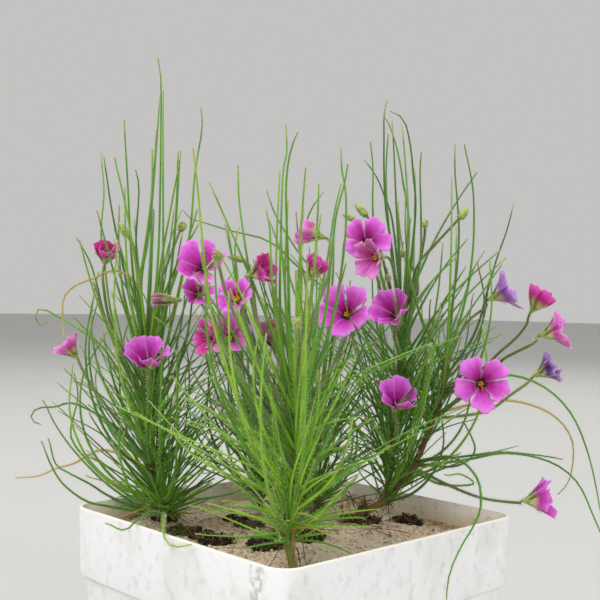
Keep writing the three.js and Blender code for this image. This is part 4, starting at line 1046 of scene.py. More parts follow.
    def grown(self, root: Array, way: tuple[float, float, float], reach: float, steps: int,
              sway: float, draw: Callable[[], float]) -> Thread:
        """Return a leaf that grows in equal steps and turns a little at each.

        Args:
            root: Where it starts.
            way: Its heading round the stem, its lean from upright and what each step adds to that.
            reach: How long it is.
            steps: How many steps it takes.
            sway: The range of its turns.
            draw: Gives seeded draws from 0 to 1.

        Returns:
            The leaf, which hasn't taken room.
        """
        heading, lean, bend = way
        points = [root]
        for _ in range(steps):
            level = np.array((math.cos(heading), math.sin(heading), 0.0))
            points.append(points[-1] + (level * math.sin(lean) + UP * math.cos(lean)) * reach / steps)
            heading += sway * (draw() - 0.5)
            lean += bend
        return Thread(points, LEAF)

    def rule_leaf(self, number: int, draw: Callable[[], float]) -> Thread:
        """Return a leaf by rule: low ones spread, high ones are steep and nod.

        Args:
            number: Its place from the foot of the stems to their top.
            draw: Gives seeded draws from 0 to 1.

        Returns:
            The leaf, which hasn't taken room.
        """
        height = (number + 0.5) / self.plan.count
        reach = lerp(*self.plan.length, draw()) * (1 - 0.25 * abs(height - 0.4))
        root = self.stem_places[math.floor(height * (len(self.stem_places) - 1))]
        heading = number * GOLDEN_TURN + 0.6 * draw()
        lean = lerp(1.25, 0.3, height) + 0.3 * (draw() - 0.5)
        bend = lerp(-0.5, 0.12, height) + 0.2 * (draw() - 0.5)
        return self.grown(root, (heading, lean, bend), reach, self.RULE_STEPS, self.RULE_SWAY, draw)

    def is_in_outline(self, thread: Thread, outlines: list[Course]) -> bool:
        """Return whether nearly all of a leaf lies inside one of the outlines in the picture."""
        outside = 0
        for row in thread.trail:
            place = VIEW.picture(row[:3])
            outside += not any(is_inside(place, outline) for outline in outlines)
        return outside < self.OUTSIDE * len(thread.trail)

    def add_rule_leaves(self) -> None:
        """Grow the leaves that rule adds, and thicken the tuft with those that cross others."""
        draws = SeededRandom(self.plan.seed)
        crossing = []
        for number in range(self.plan.count):
            thread = self.rule_leaf(number, draws.draw)
            if not self.is_in_outline(thread, [self.plan.outline]):
                continue
            if self.room.is_free(self.name, thread.trail):
                self.room.add(self.name, thread.trail)
                self.leaves.append(thread)
            else:
                crossing.append(thread)
        own = frozenset({self.name})
        self.leaves += [t for t in crossing if self.room.is_free(self.name, t.trail, own)]

    def hides(self, thread: Thread, blooms: list[Bloom]) -> bool:
        """Return whether a leaf passes before a flower, as the picture shows them."""
        for row in thread.trail:
            x, y = VIEW.picture(row[:3])
            away = row[:3] @ VIEW.away
            for plan in (bloom.plan for bloom in blooms):
                if away < plan.away and math.dist((x, y), plan.at) < plan.petal * self.SIGHT:
                    return True
        return False

    def add_tiers(self, plants: list["Plant"], blooms: list[Bloom]) -> None:
        """Grow shorter leaves in fans, upright within and arching without, across any others.

        Args:
            plants: All plants, whose outlines the leaves keep within.
            blooms: The flowers, which the leaves don't hide.
        """
        draws = SeededRandom(self.plan.seed * self.TIER_SEEDS)
        names = frozenset(plant.name for plant in plants)
        outlines = [plant.plan.outline for plant in plants]
        for tier in TIERS[self.name]:
            for number in range(tier.count):
                share = (number + 0.5) / tier.count
                x = tier.x + self.TIER_WIDTH * (draws.draw() - 0.5)
                y = tier.y + self.TIER_HEIGHT * (draws.draw() - 0.5)
                lean = lerp(*tier.leans, share) + 0.2 * draws.draw()
                bend = lerp(-0.12, 0.34, draws.draw()) * (1 - 0.6 * share)
                reach = lerp(*tier.lengths, draws.draw())
                thread = self.grown(self.nearest((x, y)), (number * GOLDEN_TURN, lean, bend), reach,
                                    self.TIER_STEPS, self.TIER_SWAY, draws.draw)
                fits = reach < self.LOW or self.is_in_outline(thread, outlines)
                if not fits or self.hides(thread, blooms):
                    continue
                if self.room.is_free(self.name, thread.trail, names):
                    self.short_leaves.append(thread)


def is_inside(place: Place, outline: Course) -> bool:
    """Return whether a place in the picture lies inside a closed outline."""
    x, y = place
    inside = False
    for (ax, ay), (bx, by) in zip(outline, outline[1:] + outline[:1]):
        if (ay > y) != (by > y) and x < ax + (bx - ax) * (y - ay) / (by - ay):
            inside = not inside
    return inside


class Recipe:
    """A procedural material while its shader nodes are put together."""

    def __init__(self, name: str, first: str) -> None:
        """Start a material in its first colour."""
        self.material = bpy.data.materials.new(name)
        self.material.use_nodes = True
        self.tree = self.material.node_tree
        self.place = self.node("TexCoord", "Object", {})
        self.shade: object = colour(first)

    def feed(self, socket: Socket, value: object) -> None:
        """Link a socket to another, or set it to a number or colour."""
        if isinstance(value, Socket):
            self.tree.links.new(value, socket)
        else:
            socket.default_value = value

    def node(self, kind: str, output: str | int, inputs: dict, **settings: object) -> Socket:
        """Add a shader node.

        Args:
            kind: Its type.
            output: Which of its outputs is wanted.
            inputs: What its inputs take, by name or number.
            settings: Its own settings.

        Returns:
            The output.
        """
        node = self.tree.nodes.new(f"ShaderNode{kind}")
        for name, value in settings.items():
            setattr(node, name, value)
        for name, value in inputs.items():
            self.feed(node.inputs[name], value)
        return node.outputs[output]

    def attribute(self, name: str) -> Socket:
        """Return a value that the mesh carries at each of its points."""
        return self.node("Attribute", "Fac", {}, attribute_name=name)

    def stretched(self, z: float) -> Socket:
        """Return the place on the object with its height scaled."""
        return self.node("Mapping", "Vector", {"Vector": self.place, "Scale": (1.0, 1.0, z)})

    def noise(self, scale: float, detail: float = 4.0, vector: Socket | None = None,
              distortion: float = 0.0) -> Socket:
        """Return cloudy noise from 0 to 1."""
        return self.node("TexNoise", "Fac", {"Vector": vector or self.place, "Scale": scale,
                                             "Detail": detail, "Distortion": distortion})

    def cells(self, scale: float, output: str) -> Socket:
        """Return a distance or colour by cell."""
        return self.node("TexVoronoi", output, {"Vector": self.place, "Scale": scale})

    def part(self, vector: Socket, axis: str) -> Socket:
        """Return one axis of a place."""
        return self.node("SeparateXYZ", axis, {0: vector})

    def math(self, operation: str, first: object, second: object = 0.0) -> Socket:
        """Return a sum, product or the like of two values."""
        return self.node("Math", 0, {0: first, 1: second}, operation=operation)

    def span(self, value: object, low: float, high: float, first: float = 0.0,
             last: float = 1.0) -> Socket:
        """Return a value spread from low..high to first..last, and held at both ends."""
        inputs = dict(enumerate((value, low, high, first, last)))
        return self.node("MapRange", "Result", inputs, interpolation_type="SMOOTHSTEP")

    def blend(self, code: str, share: object) -> None:
        """Blend a colour into the shade by a share."""
        inputs = {0: share, 6: self.shade, 7: colour(code)}
        self.shade = self.node("Mix", 2, inputs, data_type="RGBA")

    def tint(self, code: str, value: object, *limits: float) -> None:
        """Blend a colour into the shade along a value, between the limits of a span."""
        self.blend(code, self.span(value, *limits))

    def ramp(self, value: object, *codes: str) -> None:
        """Take the shade from colours evenly spaced along a value."""
        node = self.tree.nodes.new("ShaderNodeValToRGB")
        self.feed(node.inputs[0], value)
        marks = node.color_ramp.elements
        while len(marks) < len(codes):
            marks.new(1.0)
        for index, (mark, code) in enumerate(zip(marks, codes)):
            mark.position = index / (len(codes) - 1)
            mark.color = colour(code)
        self.shade = node.outputs["Color"]

    def done(self, height: object, depth: float, strength: float, **values: object) -> Material:
        """Set the shader's sockets, and give the surface its relief.

        Args:
            height: The relief, or None for a smooth surface.
            depth: How deep it is, in metres.
            strength: How strongly it shows.
            values: What the shader's sockets take, in small letters with low lines for spaces.

        Returns:
            The finished material.
        """
        if height is not None:
            relief = {"Strength": strength, "Distance": depth, "Height": height}
            values["normal"] = self.node("Bump", "Normal", relief)
        sockets = self.tree.nodes["Principled BSDF"].inputs
        names = {socket.name.lower().replace(" ", "_"): socket for socket in sockets}
        for name, value in {"base_color": self.shade, **values}.items():
            self.feed(names[name], value)
        return self.material


@dataclass(frozen=True)
class PlanterPlastic:
    """White moulded plastic, weathered: broad dull clouds, grey mottling and a creamy rim."""

    name: str = "planter_plastic"
    white: str = "efeff0"
    dull: str = "dbd8d5"
    smudge: str = "a39e97"
    rim: str = "f4f0e4"
    stain_x: float = 0.08

    def make(self) -> Material:
        """Return the material."""
        recipe = Recipe(self.name, self.white)
        clouds = recipe.noise(30.0, 4.0, recipe.stretched(0.6), 0.8)
        recipe.tint(self.dull, clouds, 0.48, 0.72, 0.0, 0.5)
        recipe.tint(self.smudge, recipe.noise(170.0, 6.0, recipe.stretched(0.7), 0.3), 0.5, 0.75, 0.0, 0.3)
        specks = recipe.span(recipe.noise(420.0, 2.0), 0.68, 0.76, 0.0, 0.5)
        ragged = recipe.span(recipe.noise(260.0, 3.0), 0.42, 0.6)
        marks = recipe.math("MAXIMUM", specks, recipe.math("MULTIPLY", self.stain(recipe), ragged))
        recipe.blend(self.smudge, recipe.math("MULTIPLY", marks, 0.6))
        recipe.tint(self.rim, recipe.part(recipe.place, "Z"), 0.1836, 0.1848)
        return recipe.done(recipe.noise(160.0), 0.00012, 0.5, specular_ior_level=0.4,
                           roughness=recipe.span(clouds, 0.3, 0.7, 0.38, 0.55))

    def stain(self, recipe: Recipe) -> Socket:
        """Return how strong the grey run of dirt left of the near corner is."""
        x = recipe.math("SUBTRACT", recipe.part(recipe.place, "X"), self.stain_x)
        across = recipe.span(recipe.math("ABSOLUTE", x), 0.003, 0.007, 1.0, 0.0)
        front = recipe.span(recipe.part(recipe.place, "Y"), -0.092, -0.088, 1.0, 0.0)
        return recipe.math("MULTIPLY", across, front)


@dataclass(frozen=True)
class PlanterInside:
    """The planter's inner walls, stained tan by wet soil and pale near the rim."""

    name: str = "planter_inside"
    tan: str = "ddccb0"
    pale: str = "f6eee8"
    dark: str = "9c876a"

    def make(self) -> Material:
        """Return the material."""
        recipe = Recipe(self.name, self.tan)
        ragged = recipe.math("MULTIPLY", recipe.noise(60.0, 5.0), 0.012)
        level = recipe.math("ADD", recipe.part(recipe.place, "Z"), ragged)
        recipe.tint(self.pale, level, 0.174, 0.19)
        recipe.tint(self.dark, recipe.noise(300.0, 4.0, distortion=1.0), 0.56, 0.72, 0.0, 0.6)
        return recipe.done(recipe.noise(500.0, 5.0), 0.0003, 0.7, roughness=0.7)


@dataclass(frozen=True)
class SandySoil:
    """Pale sandy soil, pink and tan, dark and mossy in the places that the mesh marks."""

    name: str = "sandy_soil"
    tan: str = "d2c4a8"
    pink: str = "dcb89e"
    pale: str = "efe6d2"
    brown: str = "6a543e"
    moss: str = "4a4d22"
    black: str = "211a14"

    def make(self) -> Material:
        """Return the material."""
        recipe = Recipe(self.name, self.tan)
        recipe.tint(self.pink, recipe.noise(26.0, 5.0, distortion=0.8), 0.35, 0.65)
        grit = recipe.part(recipe.cells(900.0, "Color"), "X")
        recipe.tint(self.pale, grit, 0.55, 1.0, 0.0, 0.75)
        recipe.tint(self.brown, grit, 0.0, 0.22, 0.8, 0.0)
        crumbs = recipe.noise(380.0, 6.0, distortion=0.5)
        damp = recipe.math("ADD", recipe.attribute("dark"), recipe.span(crumbs, 0.3, 0.7, -0.35, 0.35))
        recipe.tint(self.brown, damp, 0.25, 0.75, 0.0, 0.85)
        recipe.tint(self.black, damp, 0.8, 1.25, 0.0, 0.8)
        green = recipe.math("ADD", recipe.attribute("moss"), recipe.span(crumbs, 0.3, 0.7, -0.4, 0.4))
        recipe.tint(self.moss, green, 0.35, 0.8, 0.0, 0.9)
        return recipe.done(recipe.math("ADD", crumbs, grit), 0.0012, 0.9, roughness=0.95,
                           specular_ior_level=0.2)


@dataclass(frozen=True)
class Speckled:
    """Small dry things that differ one from the next: grains, moss, dead strands and bark."""

    name: str
    first: str
    second: str
    third: str
    scale: float = 120.0
    roughness: float = 0.85
    streak: float = 1.0

    def make(self) -> Material:
        """Return the material."""
        recipe = Recipe(self.name, self.first)
        recipe.ramp(recipe.attribute("tint"), self.first, self.second, self.third)
        grain = recipe.noise(self.scale, 5.0, recipe.stretched(self.streak), 0.4)
        recipe.tint(self.first, grain, 0.3, 0.7, 0.0, 0.45)
        return recipe.done(grain, 0.0005, 0.8, roughness=self.roughness, specular_ior_level=0.25)


DRY_TINT = 1.2


@dataclass(frozen=True)
class LeafSkin:
    """The green of leaves and stalks: brighter with painted light towards the front of the planter, deeper
    with painted shade within the tuft, pale at the tips, with painted glints of sticky droplets."""

    name: str = "leaf_skin"
    deep: str = "2b5c10"
    fresh: str = "5fa416"
    bright: str = "a9d62a"
    dry: str = "c0a35a"
    tip: str = "b7a878"
    foot: str = "6f5a35"

    def make(self) -> Material:
        """Return the material."""
        recipe = Recipe(self.name, self.deep)
        tint = recipe.attribute("tint")
        # Painted light and shade: the tint runs from deep green, painted shade within the tuft, to bright
        # green, painted light towards the front; it also differs at random by leaf.
        recipe.ramp(tint, self.deep, self.fresh, self.bright)
        clouds = recipe.noise(45.0, 3.0)
        # Clouds of the same deep green darken patches across the leaves.
        recipe.tint(self.deep, clouds, 0.35, 0.75, 0.0, 0.55)
        recipe.tint(self.dry, tint, 1.1, DRY_TINT)
        wander = recipe.span(clouds, 0.3, 0.7, -0.03, 0.03)
        ragged = recipe.math("ADD", recipe.attribute("along"), wander)
        recipe.tint(self.tip, ragged, 0.93, 1.0, 0.0, 0.8)
        recipe.tint(self.foot, ragged, 0.0, 0.06, 0.75, 0.0)
        # Painted glints: bright green is blended in at the sticky droplets, which also set the relief and
        # the gloss.
        drops_and_glints = recipe.span(recipe.cells(1300.0, "Distance"), 0.1, 0.35, 1.0, 0.0)
        recipe.blend(self.bright, recipe.math("MULTIPLY", drops_and_glints, 0.35))
        return recipe.done(drops_and_glints, 0.0003, 0.6, roughness=recipe.span(drops_and_glints, 0.0, 1.0, 0.42, 0.12),
                           specular_ior_level=0.6, subsurface_weight=0.15, subsurface_scale=0.001)


@dataclass(frozen=True)
class BudSkin:
    """The green of buds and flower cups, flushed with pink."""

    name: str = "bud_skin"
    green: str = "b3c268"
    deep: str = "6c8a36"
    flush: str = "b77a78"

    def make(self) -> Material:
        """Return the material."""
        recipe = Recipe(self.name, self.green)
        ribs = recipe.noise(240.0, 3.0, distortion=0.5)
        recipe.tint(self.deep, ribs, 0.35, 0.7)
        flush = recipe.math("MULTIPLY", recipe.attribute("along"), recipe.attribute("tint"))
        recipe.tint(self.flush, flush, 0.25, 0.95, 0.0, 0.65)
        return recipe.done(ribs, 0.0003, 0.6, roughness=0.4, subsurface_weight=0.15,
                           subsurface_scale=0.001)


@dataclass(frozen=True)
class Plain:
    """A smooth surface in faint clouds of two colours: clear sticky hairs, and the studio floor."""

    name: str
    first: str
    second: str
    scale: float
    detail: float
    roughness: float
    gloss: float = 0.5

    def make(self) -> Material:
        """Return the material."""
        recipe = Recipe(self.name, self.first)
        recipe.blend(self.second, recipe.noise(self.scale, self.detail))
        return recipe.done(None, 0.0, 0.0, roughness=self.roughness, specular_ior_level=self.gloss)


class Side(Enum):
    """The sides of a petal, in the order of its two finishes."""

    BACK = 0
    FACE = 1


@dataclass(frozen=True)
class PetalSkin:
    """A petal's skin: fine veins from the foot, a paler ragged edge and faint clouds, with a dark
    foot on its face and a pale one on its back."""

    name: str
    body: str
    edge: str
    deep: str
    eye: str = "3c0620"
    pale: str = "d8d09a"
    vein_fan: float = 0.12
    vein_scale: float = 5.5
    vein_wander: float = 1.6

    def make(self, side: Side) -> Material:
        """Return the material of one side."""
        recipe = Recipe(f"{self.name}_{side.name.lower()}", self.deep)
        flat = recipe.node("UVMap", "UV", {}, uv_map="petal")
        across = recipe.math("SUBTRACT", recipe.part(flat, "X"), 0.5)
        along = recipe.part(flat, "Y")
        clouds = recipe.noise(130.0, 4.0, distortion=0.5)
        reach = recipe.math("ADD", along, recipe.span(clouds, 0.3, 0.7, -0.08, 0.08))
        recipe.tint(self.body, reach, 0.25, 0.6)
        recipe.tint(self.edge, reach, 0.55, 1.0)
        recipe.tint(self.edge, recipe.math("ABSOLUTE", across), 0.36, 0.5, 0.0, 0.7)
        drawn_in = recipe.math("MULTIPLY", along, self.vein_fan)
        fan = recipe.node("CombineXYZ", 0, {"X": across, "Y": drawn_in})
        veins = recipe.node("TexWave", "Fac", {"Vector": fan, "Scale": self.vein_scale, "Detail": 3.0,
                                               "Distortion": self.vein_wander, "Detail Scale": 3.0})
        line = recipe.span(veins, 0.55, 0.95)
        recipe.blend(self.deep, recipe.math("MULTIPLY", line, recipe.span(along, 0.2, 1.0, 0.6, 0.15)))
        if side is Side.FACE:
            recipe.tint(self.eye, along, 0.08, 0.24, 1.0, 0.0)
        else:
            recipe.tint(self.pale, along, 0.1, 0.5, 1.0, 0.0)
        return recipe.done(line, 0.0004, 0.5, roughness=0.45, specular_ior_level=0.3, sheen_weight=0.15,
                           sheen_roughness=0.4, subsurface_weight=0.25, subsurface_scale=0.0015)


HAIR = Plain("sticky_hair", "ccd69c", "a2b06c", 700.0, 1.0, 0.2, 0.7)
FLOOR = Plain("studio_floor", "c9c9c6", "c2c2bf", 3.0, 2.0, 0.8)
GRAINS = Speckled("sand_grains", "e4d8bf", "c2ad8d", "6f604e", 300.0, 0.7)
MOSS = Speckled("moss_sprigs", "23270f", "485020", "757a35", 90.0, 0.8)
HUMUS = Speckled("humus_crumbs", "17110d", "33261b", "5a4631", 250.0, 0.95)
DEAD = Speckled("dead_leaves", "432c1c", "a5815a", "dac69c", 200.0, 0.75, 0.3)
BARK = Speckled("stem_bark", "4a3a20", "7a6238", "6f9a34", 220.0, 0.8, 0.25)
ANTHER = Speckled("anther_dust", "e0940f", "f3bf30", "f9dc68", 500.0, 0.6)
STYLE = Speckled("style_skin", "c96a35", "e08a4a", "efb07a", 300.0, 0.5)
PETAL_SKINS = {
    Tone.MAGENTA: PetalSkin("petal_magenta", "d54ecc", "f585f2", "ae1590"),
    Tone.ROSE: PetalSkin("petal_rose", "df62c6", "f59be8", "c23498"),
    Tone.CRIMSON: PetalSkin("petal_crimson", "c0208c", "e55cc0", "960a5c"),
    Tone.VIOLET: PetalSkin("petal_violet", "b06ae0", "d3a3f2", "8f4ac4", "5a2a70", "e6e0c8"),
    Tone.WILTED: PetalSkin("petal_wilted", "6b3a9c", "b9a0d6", "3f1c6e", "2a0f40", "c8c6a0"),
    Tone.FADED: PetalSkin("petal_faded", "9c6678", "c8a0a8", "7a4a58", "553034", "c8b48c"),
}
SLOTS = {
    Tone.MAGENTA: "petal", Tone.ROSE: "petal", Tone.CRIMSON: "petal", Tone.VIOLET: "petal_violet",
    Tone.WILTED: "petal_wilted", Tone.FADED: "petal_wilted",
}


def add_object(name: str, data: bpy.types.ID) -> Object:
    """Put a new object into the scene."""
    item = bpy.data.objects.new(name, data)
    bpy.context.scene.collection.objects.link(item)
    return item


def mesh_from(shape: BMesh) -> Mesh:
    """Return the mesh of a shape, which is freed."""
    mesh = bpy.data.meshes.new("mesh")
    shape.to_mesh(mesh)
    shape.free()
    return mesh


def applied(item: Object) -> Mesh:
    """Return the mesh of an object with its modifiers, and remove the object."""
    mesh = bpy.data.meshes.new_from_object(item.evaluated_get(bpy.context.evaluated_depsgraph_get()))
    bpy.data.meshes.remove(item.data)
    return mesh


def place_piece(name: str, mesh: Mesh, finishes: list[Material], slot: str,
                *replaced: str) -> Object:
    """Make a finished piece of a mesh in millimetres.

    Args:
        name: The piece's name.
        mesh: Its mesh, which is scaled to metres.
        finishes: Its materials.
        slot: The part's material slot; not used.
        replaced: The fixed parts that it stands for.

    Returns:
        The piece, riding on the part.
    """
    mesh.name = name
    mesh.transform(Matrix.Scale(MM, 4))
    for finish in finishes:
        mesh.materials.append(finish)
    mesh.update()
    piece = add_object(name, mesh)
    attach(piece, "root")
    if replaced:
        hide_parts(*replaced)
    log.info("%s: %d faces", name, len(mesh.polygons))
    return piece


def copies(template: BMesh, count: int) -> Mesh:
    """Return a mesh of so many copies of a shape, one after another, and free the shape."""
    holder = add_object("template", mesh_from(template))
    array = holder.modifiers.new("copies", "ARRAY")
    array.count = count
    array.use_relative_offset = False
    array.use_constant_offset = True
    array.constant_offset_displace = (0.0, 0.0, 0.0)
    return applied(holder)


def places_of(source: BMesh) -> Array:
    """Return the places of a shape's vertices as rows."""
    return np.array([vert.co for vert in source.verts])


def set_places(mesh: Mesh, rows: Array) -> None:
    """Move all vertices of a mesh."""
    mesh.vertices.foreach_set("co", np.ascontiguousarray(rows, dtype=np.float32).ravel())


def set_values(mesh: Mesh, name: str, values: Array) -> None:
    """Store one value at each vertex for the material to read."""
    layer = mesh.attributes.new(name, "FLOAT", "POINT")
    layer.data.foreach_set("value", np.ascontiguousarray(values, dtype=np.float32))


def make_smooth(mesh: Mesh, sharpest: float = 180.0) -> None:
    """Shade a mesh smooth, but for edges sharper than an angle in degrees."""
    mesh.polygons.foreach_set("use_smooth", [True] * len(mesh.polygons))
    if sharpest < 180.0:
        mesh.set_sharp_from_angle(angle=math.radians(sharpest))


def straight_thread(sides: int, rings: int) -> BMesh:
    """Return a straight thread of unit radius that runs up Z from 0 to 1, closed at both ends.

    Args:
        sides: Faces round it.
        rings: Rows of faces along it.

    Returns:
        The shape.
    """
    shape = bmesh.new()
    bmesh.ops.create_cone(shape, cap_ends=True, segments=sides, radius1=1.0, radius2=1.0, depth=1.0,
                          matrix=Matrix.Translation((0.0, 0.0, 0.5)))
    upright = [edge for edge in shape.edges if abs(edge.verts[0].co.z - edge.verts[1].co.z) > 0.5]
    bmesh.ops.subdivide_edges(shape, edges=upright, cuts=rings - 1, use_grid_fill=True)
    return shape


class Spine:
    """A thread's centre line with axes that don't twist, onto which a straight shape is bent."""

    STATIONS = 40
    HOOK_FROM = 0.93

    def __init__(self, curve: Curve, hook: float = 0.0, side: Array | None = None) -> None:
        """Lay a spine along a curve.

        Args:
            curve: The smooth curve.
            hook: How far its tip bends aside, in millimetres.
            side: Its first side, or None for any.
        """
        shares = np.linspace(0.0, 1.0, self.STATIONS + 1)
        headings = curve.headings(shares)
        if side is None:
            side = VIEW.away if abs(headings[0] @ VIEW.away) < 0.8 else VIEW.across
        sides = []
        for heading in headings:
            side = unit(side - heading * (side @ heading))
            sides.append(side)
        self.sides = np.array(sides)
        self.others = np.cross(headings, self.sides)
        curl = np.clip((shares - self.HOOK_FROM) / (1 - self.HOOK_FROM), 0.0, 1.0) ** 2 * hook
        self.centres = curve.spaced(shares) + self.sides * curl[:, None]
        self.length = curve.length

    def bend(self, shares: Array, x: Array, y: Array) -> Array:
        """Return the places beside the spine.

        Args:
            shares: Shares of the spine's length.
            x: Distances to its first side.
            y: Distances to its second side.

        Returns:
            Places as rows.
        """
        station = np.clip(shares, 0.0, 1.0) * self.STATIONS
        low = np.minimum(station.astype(int), self.STATIONS - 1)
        weight = (station - low)[:, None]
        centres, sides, others = (
            table[low] * (1 - weight) + table[low + 1] * weight
            for table in (self.centres, self.sides, self.others)
        )
        return centres + sides * x[:, None] + others * y[:, None]


@dataclass
class Bundle:
    """Threads of one finish: straight copies of one shape, bent into a single mesh."""

    sides: int = 6
    rings: int = 22
    jobs: list[tuple[Spine, Callable[[Array], Array], float, float]] = field(default_factory=list)

    def add(self, spine: Spine, width: Callable[[Array], Array], flat: float, tint: float) -> None:
        """Add a thread: its run, its radius at shares of its length, its flatness and its shade."""
        self.jobs.append((spine, width, flat, tint))

    def mesh(self) -> Mesh:
        """Return the mesh of all threads, with how far along and which tint each point is."""
        template = straight_thread(self.sides, self.rings)
        rest = places_of(template)
        mesh = copies(template, len(self.jobs))
        shares = rest[:, 2]
        rows, tints = [], []
        for spine, width, flat, tint in self.jobs:
            radius = width(shares)
            rows.append(spine.bend(shares, rest[:, 0] * radius, rest[:, 1] * radius * flat))
            tints.append(np.full(len(rest), tint))
        set_places(mesh, np.concatenate(rows))
        set_values(mesh, "along", np.tile(shares, len(self.jobs)))
        set_values(mesh, "tint", np.concatenate(tints))
        make_smooth(mesh, 60.0)
        return mesh


@dataclass
class HairCoat:
    """Sticky hairs on the threads of a plant, set as short sleeves of hairs along each thread.

    A hair is a three-sided cone that starts inside the thread and widens to its drop.
    """

    sleeve: float = 10.0
    hairs: int = 20
    drop: float = 0.13
    shortest: float = 0.6
    longest: float = 1.35
    sleeve_turn: float = 2.4
    seed: int = 5
    places: list[tuple[Spine, float, float, float, float, float]] = field(default_factory=list)

    def cover(self, spine: Spine, root: float, tip: float, long: float, turn: float) -> None:
        """Cover a thread with sleeves.

        Args:
            spine: Where the thread runs.
            root: Its radius at the root.
            tip: Its radius at the tip.
            long: How long its hairs are, as a share of the usual length.
            turn: The turn of its first sleeve.
        """
        count = max(1, int((spine.length - 2.0) / self.sleeve))
        for i in range(count):
            share = (i + 0.5) / count
            self.places.append((spine, share, 1 / (count * self.sleeve), lerp(root, tip, share), long,
                                turn + self.sleeve_turn * i))

    def template(self) -> BMesh:
        """Return a sleeve of hairs round the Z axis, on a thread of radius one."""
        draws = random.Random(self.seed)
        shape = bmesh.new()
        for number in range(self.hairs):
            length = draws.uniform(self.shortest, self.longest)
            turn = number * GOLDEN_TURN + draws.uniform(-0.3, 0.3)
            height = (number + draws.uniform(0.2, 0.8)) / self.hairs * self.sleeve - self.sleeve / 2
            lean = draws.uniform(-0.35, 0.35)
            reach = 0.6 + length
            upright = Matrix.Translation((0.4, 0.0, 0.0)) @ Matrix.Rotation(math.pi / 2 + lean, 4, "Y")
            stand = Matrix.Translation((0.0, 0.0, height)) @ Matrix.Rotation(turn, 4, "Z") @ upright
            bmesh.ops.create_cone(shape, cap_ends=True, segments=3, radius1=0.0, radius2=self.drop,
                                  depth=reach, matrix=stand @ Matrix.Translation((0.0, 0.0, reach / 2)))
        bmesh.ops.recalc_face_normals(shape, faces=shape.faces)
        return shape

    def mesh(self) -> Mesh:
        """Return the mesh of all hairs."""
        template = self.template()
        rest = places_of(template)
        mesh = copies(template, len(self.places))
        distance = np.maximum(np.hypot(rest[:, 0], rest[:, 1]), 1e-6)
        angle = np.arctan2(rest[:, 1], rest[:, 0])
        rows = []
        for spine, middle, spread, radius, long, turn in self.places:
            reach = radius * np.minimum(distance, 1.0) + np.maximum(distance - 1.0, 0.0) * long
            shares = middle + rest[:, 2] * spread
            rows.append(spine.bend(shares, reach * np.cos(angle + turn), reach * np.sin(angle + turn)))
        set_places(mesh, np.concatenate(rows))
        return mesh


@dataclass
class Planter:
    """The square planter: a tapering body, a taller band round its rim and four drain holes."""

    form: PlanterForm = FORM
    corner_steps: int = 6
    edge_round: float = 0.35
    edge_steps: int = 2
    hole_sides: int = 24

    def shell(self) -> Mesh:
        """Return the planter without its drain holes, pulled up level by level from its foot."""
        form = self.form
        shape = bmesh.new()
        half = form.outer[0][1]
        bmesh.ops.create_grid(shape, x_segments=1, y_segments=1, size=half)
        bmesh.ops.bevel(shape, geom=shape.verts, offset=form.corner, offset_type="OFFSET",
                        segments=self.corner_steps, profile=0.5, affect="VERTICES", material=-1)
        radius = form.corner
        levels = [(z, width, form.corner) for z, width in form.outer[1:]]
        levels += [(z, width, form.inner_corner) for z, width in form.inner]
        top = shape.faces[:]
        for z, width, corner in levels:
            inside = corner < form.corner
            pulled = bmesh.ops.extrude_face_region(shape, geom=top)["geom"]
            bmesh.ops.delete(shape, geom=top, context="FACES_ONLY")
            top = [item for item in pulled if isinstance(item, bmesh.types.BMFace)]
            for vert in top[0].verts:
                sides = [math.copysign(half - radius, value) for value in vert.co[:2]]
                bends = [(value - side) / radius * corner for value, side in zip(vert.co[:2], sides)]
                places = [math.copysign(width - corner, side) + bend for side, bend in zip(sides, bends)]
                vert.co = (*places, z)
            for face in {face for vert in top[0].verts for face in vert.link_faces}:
                face.material_index = int(inside)
            half, radius = width, corner
        base = [edge for edge in shape.edges if edge.is_boundary]
        bmesh.ops.edgeloop_fill(shape, edges=base)
        bmesh.ops.recalc_face_normals(shape, faces=shape.faces)
        rounded = [
            edge for edge in shape.edges
            if all(vert.co.z > form.outer[2][0] - 1 for vert in edge.verts)
            and abs(edge.verts[0].co.z - edge.verts[1].co.z) < WELD and edge.calc_face_angle(0.0) > 0.3
        ]
        bmesh.ops.bevel(shape, geom=rounded, offset=self.edge_round, offset_type="OFFSET",
                        segments=self.edge_steps, profile=0.5, affect="EDGES", material=-1,
                        clamp_overlap=True)
        return mesh_from(shape)

    def drains(self) -> Mesh:
        """Return the four plugs that cut the drain holes."""
        shape = bmesh.new()
        offset = self.form.drain_offset
        for x in (-offset, offset):
            for y in (-offset, offset):
                bmesh.ops.create_cone(shape, cap_ends=True, segments=self.hole_sides,
                                      radius1=self.form.drain_radius, radius2=self.form.drain_radius,
                                      depth=self.form.floor * 3, matrix=Matrix.Translation((x, y, 0.0)))
        return mesh_from(shape)

    def build(self) -> Object:
        """Return the finished planter."""
        shell = add_object("shell", self.shell())
        drains = add_object("drains", self.drains())
        cut = shell.modifiers.new("drains", "BOOLEAN")
        cut.operation = "DIFFERENCE"
        cut.solver = "EXACT"
        cut.object = drains
        mesh = applied(shell)
        bpy.data.meshes.remove(drains.data)
        make_smooth(mesh, 35.0)
        finishes = [PlanterPlastic().make(), PlanterInside().make()]
        return place_piece("planter", mesh, finishes, "pot", "pot")


@dataclass(frozen=True)
class Patch:
    """A round patch on the soil, by its place in the picture: its radius in millimetres and how
    strong it is."""

    x: float
    y: float
    radius: float
    strength: float = 1.0

    @property
    def middle(self) -> Array:
        """Its middle, on the soil."""
        return VIEW.on_level(self.x, self.y, FORM.soil_top)

    def cover(self, x: Array, y: Array) -> Array:
        """Return how strongly it covers the places (x, y), from 0 to its strength."""
        distance = np.hypot(x - self.middle[0], y - self.middle[1])
        return np.clip(1.6 - 1.2 * distance / self.radius, 0.0, 1.0) * self.strength


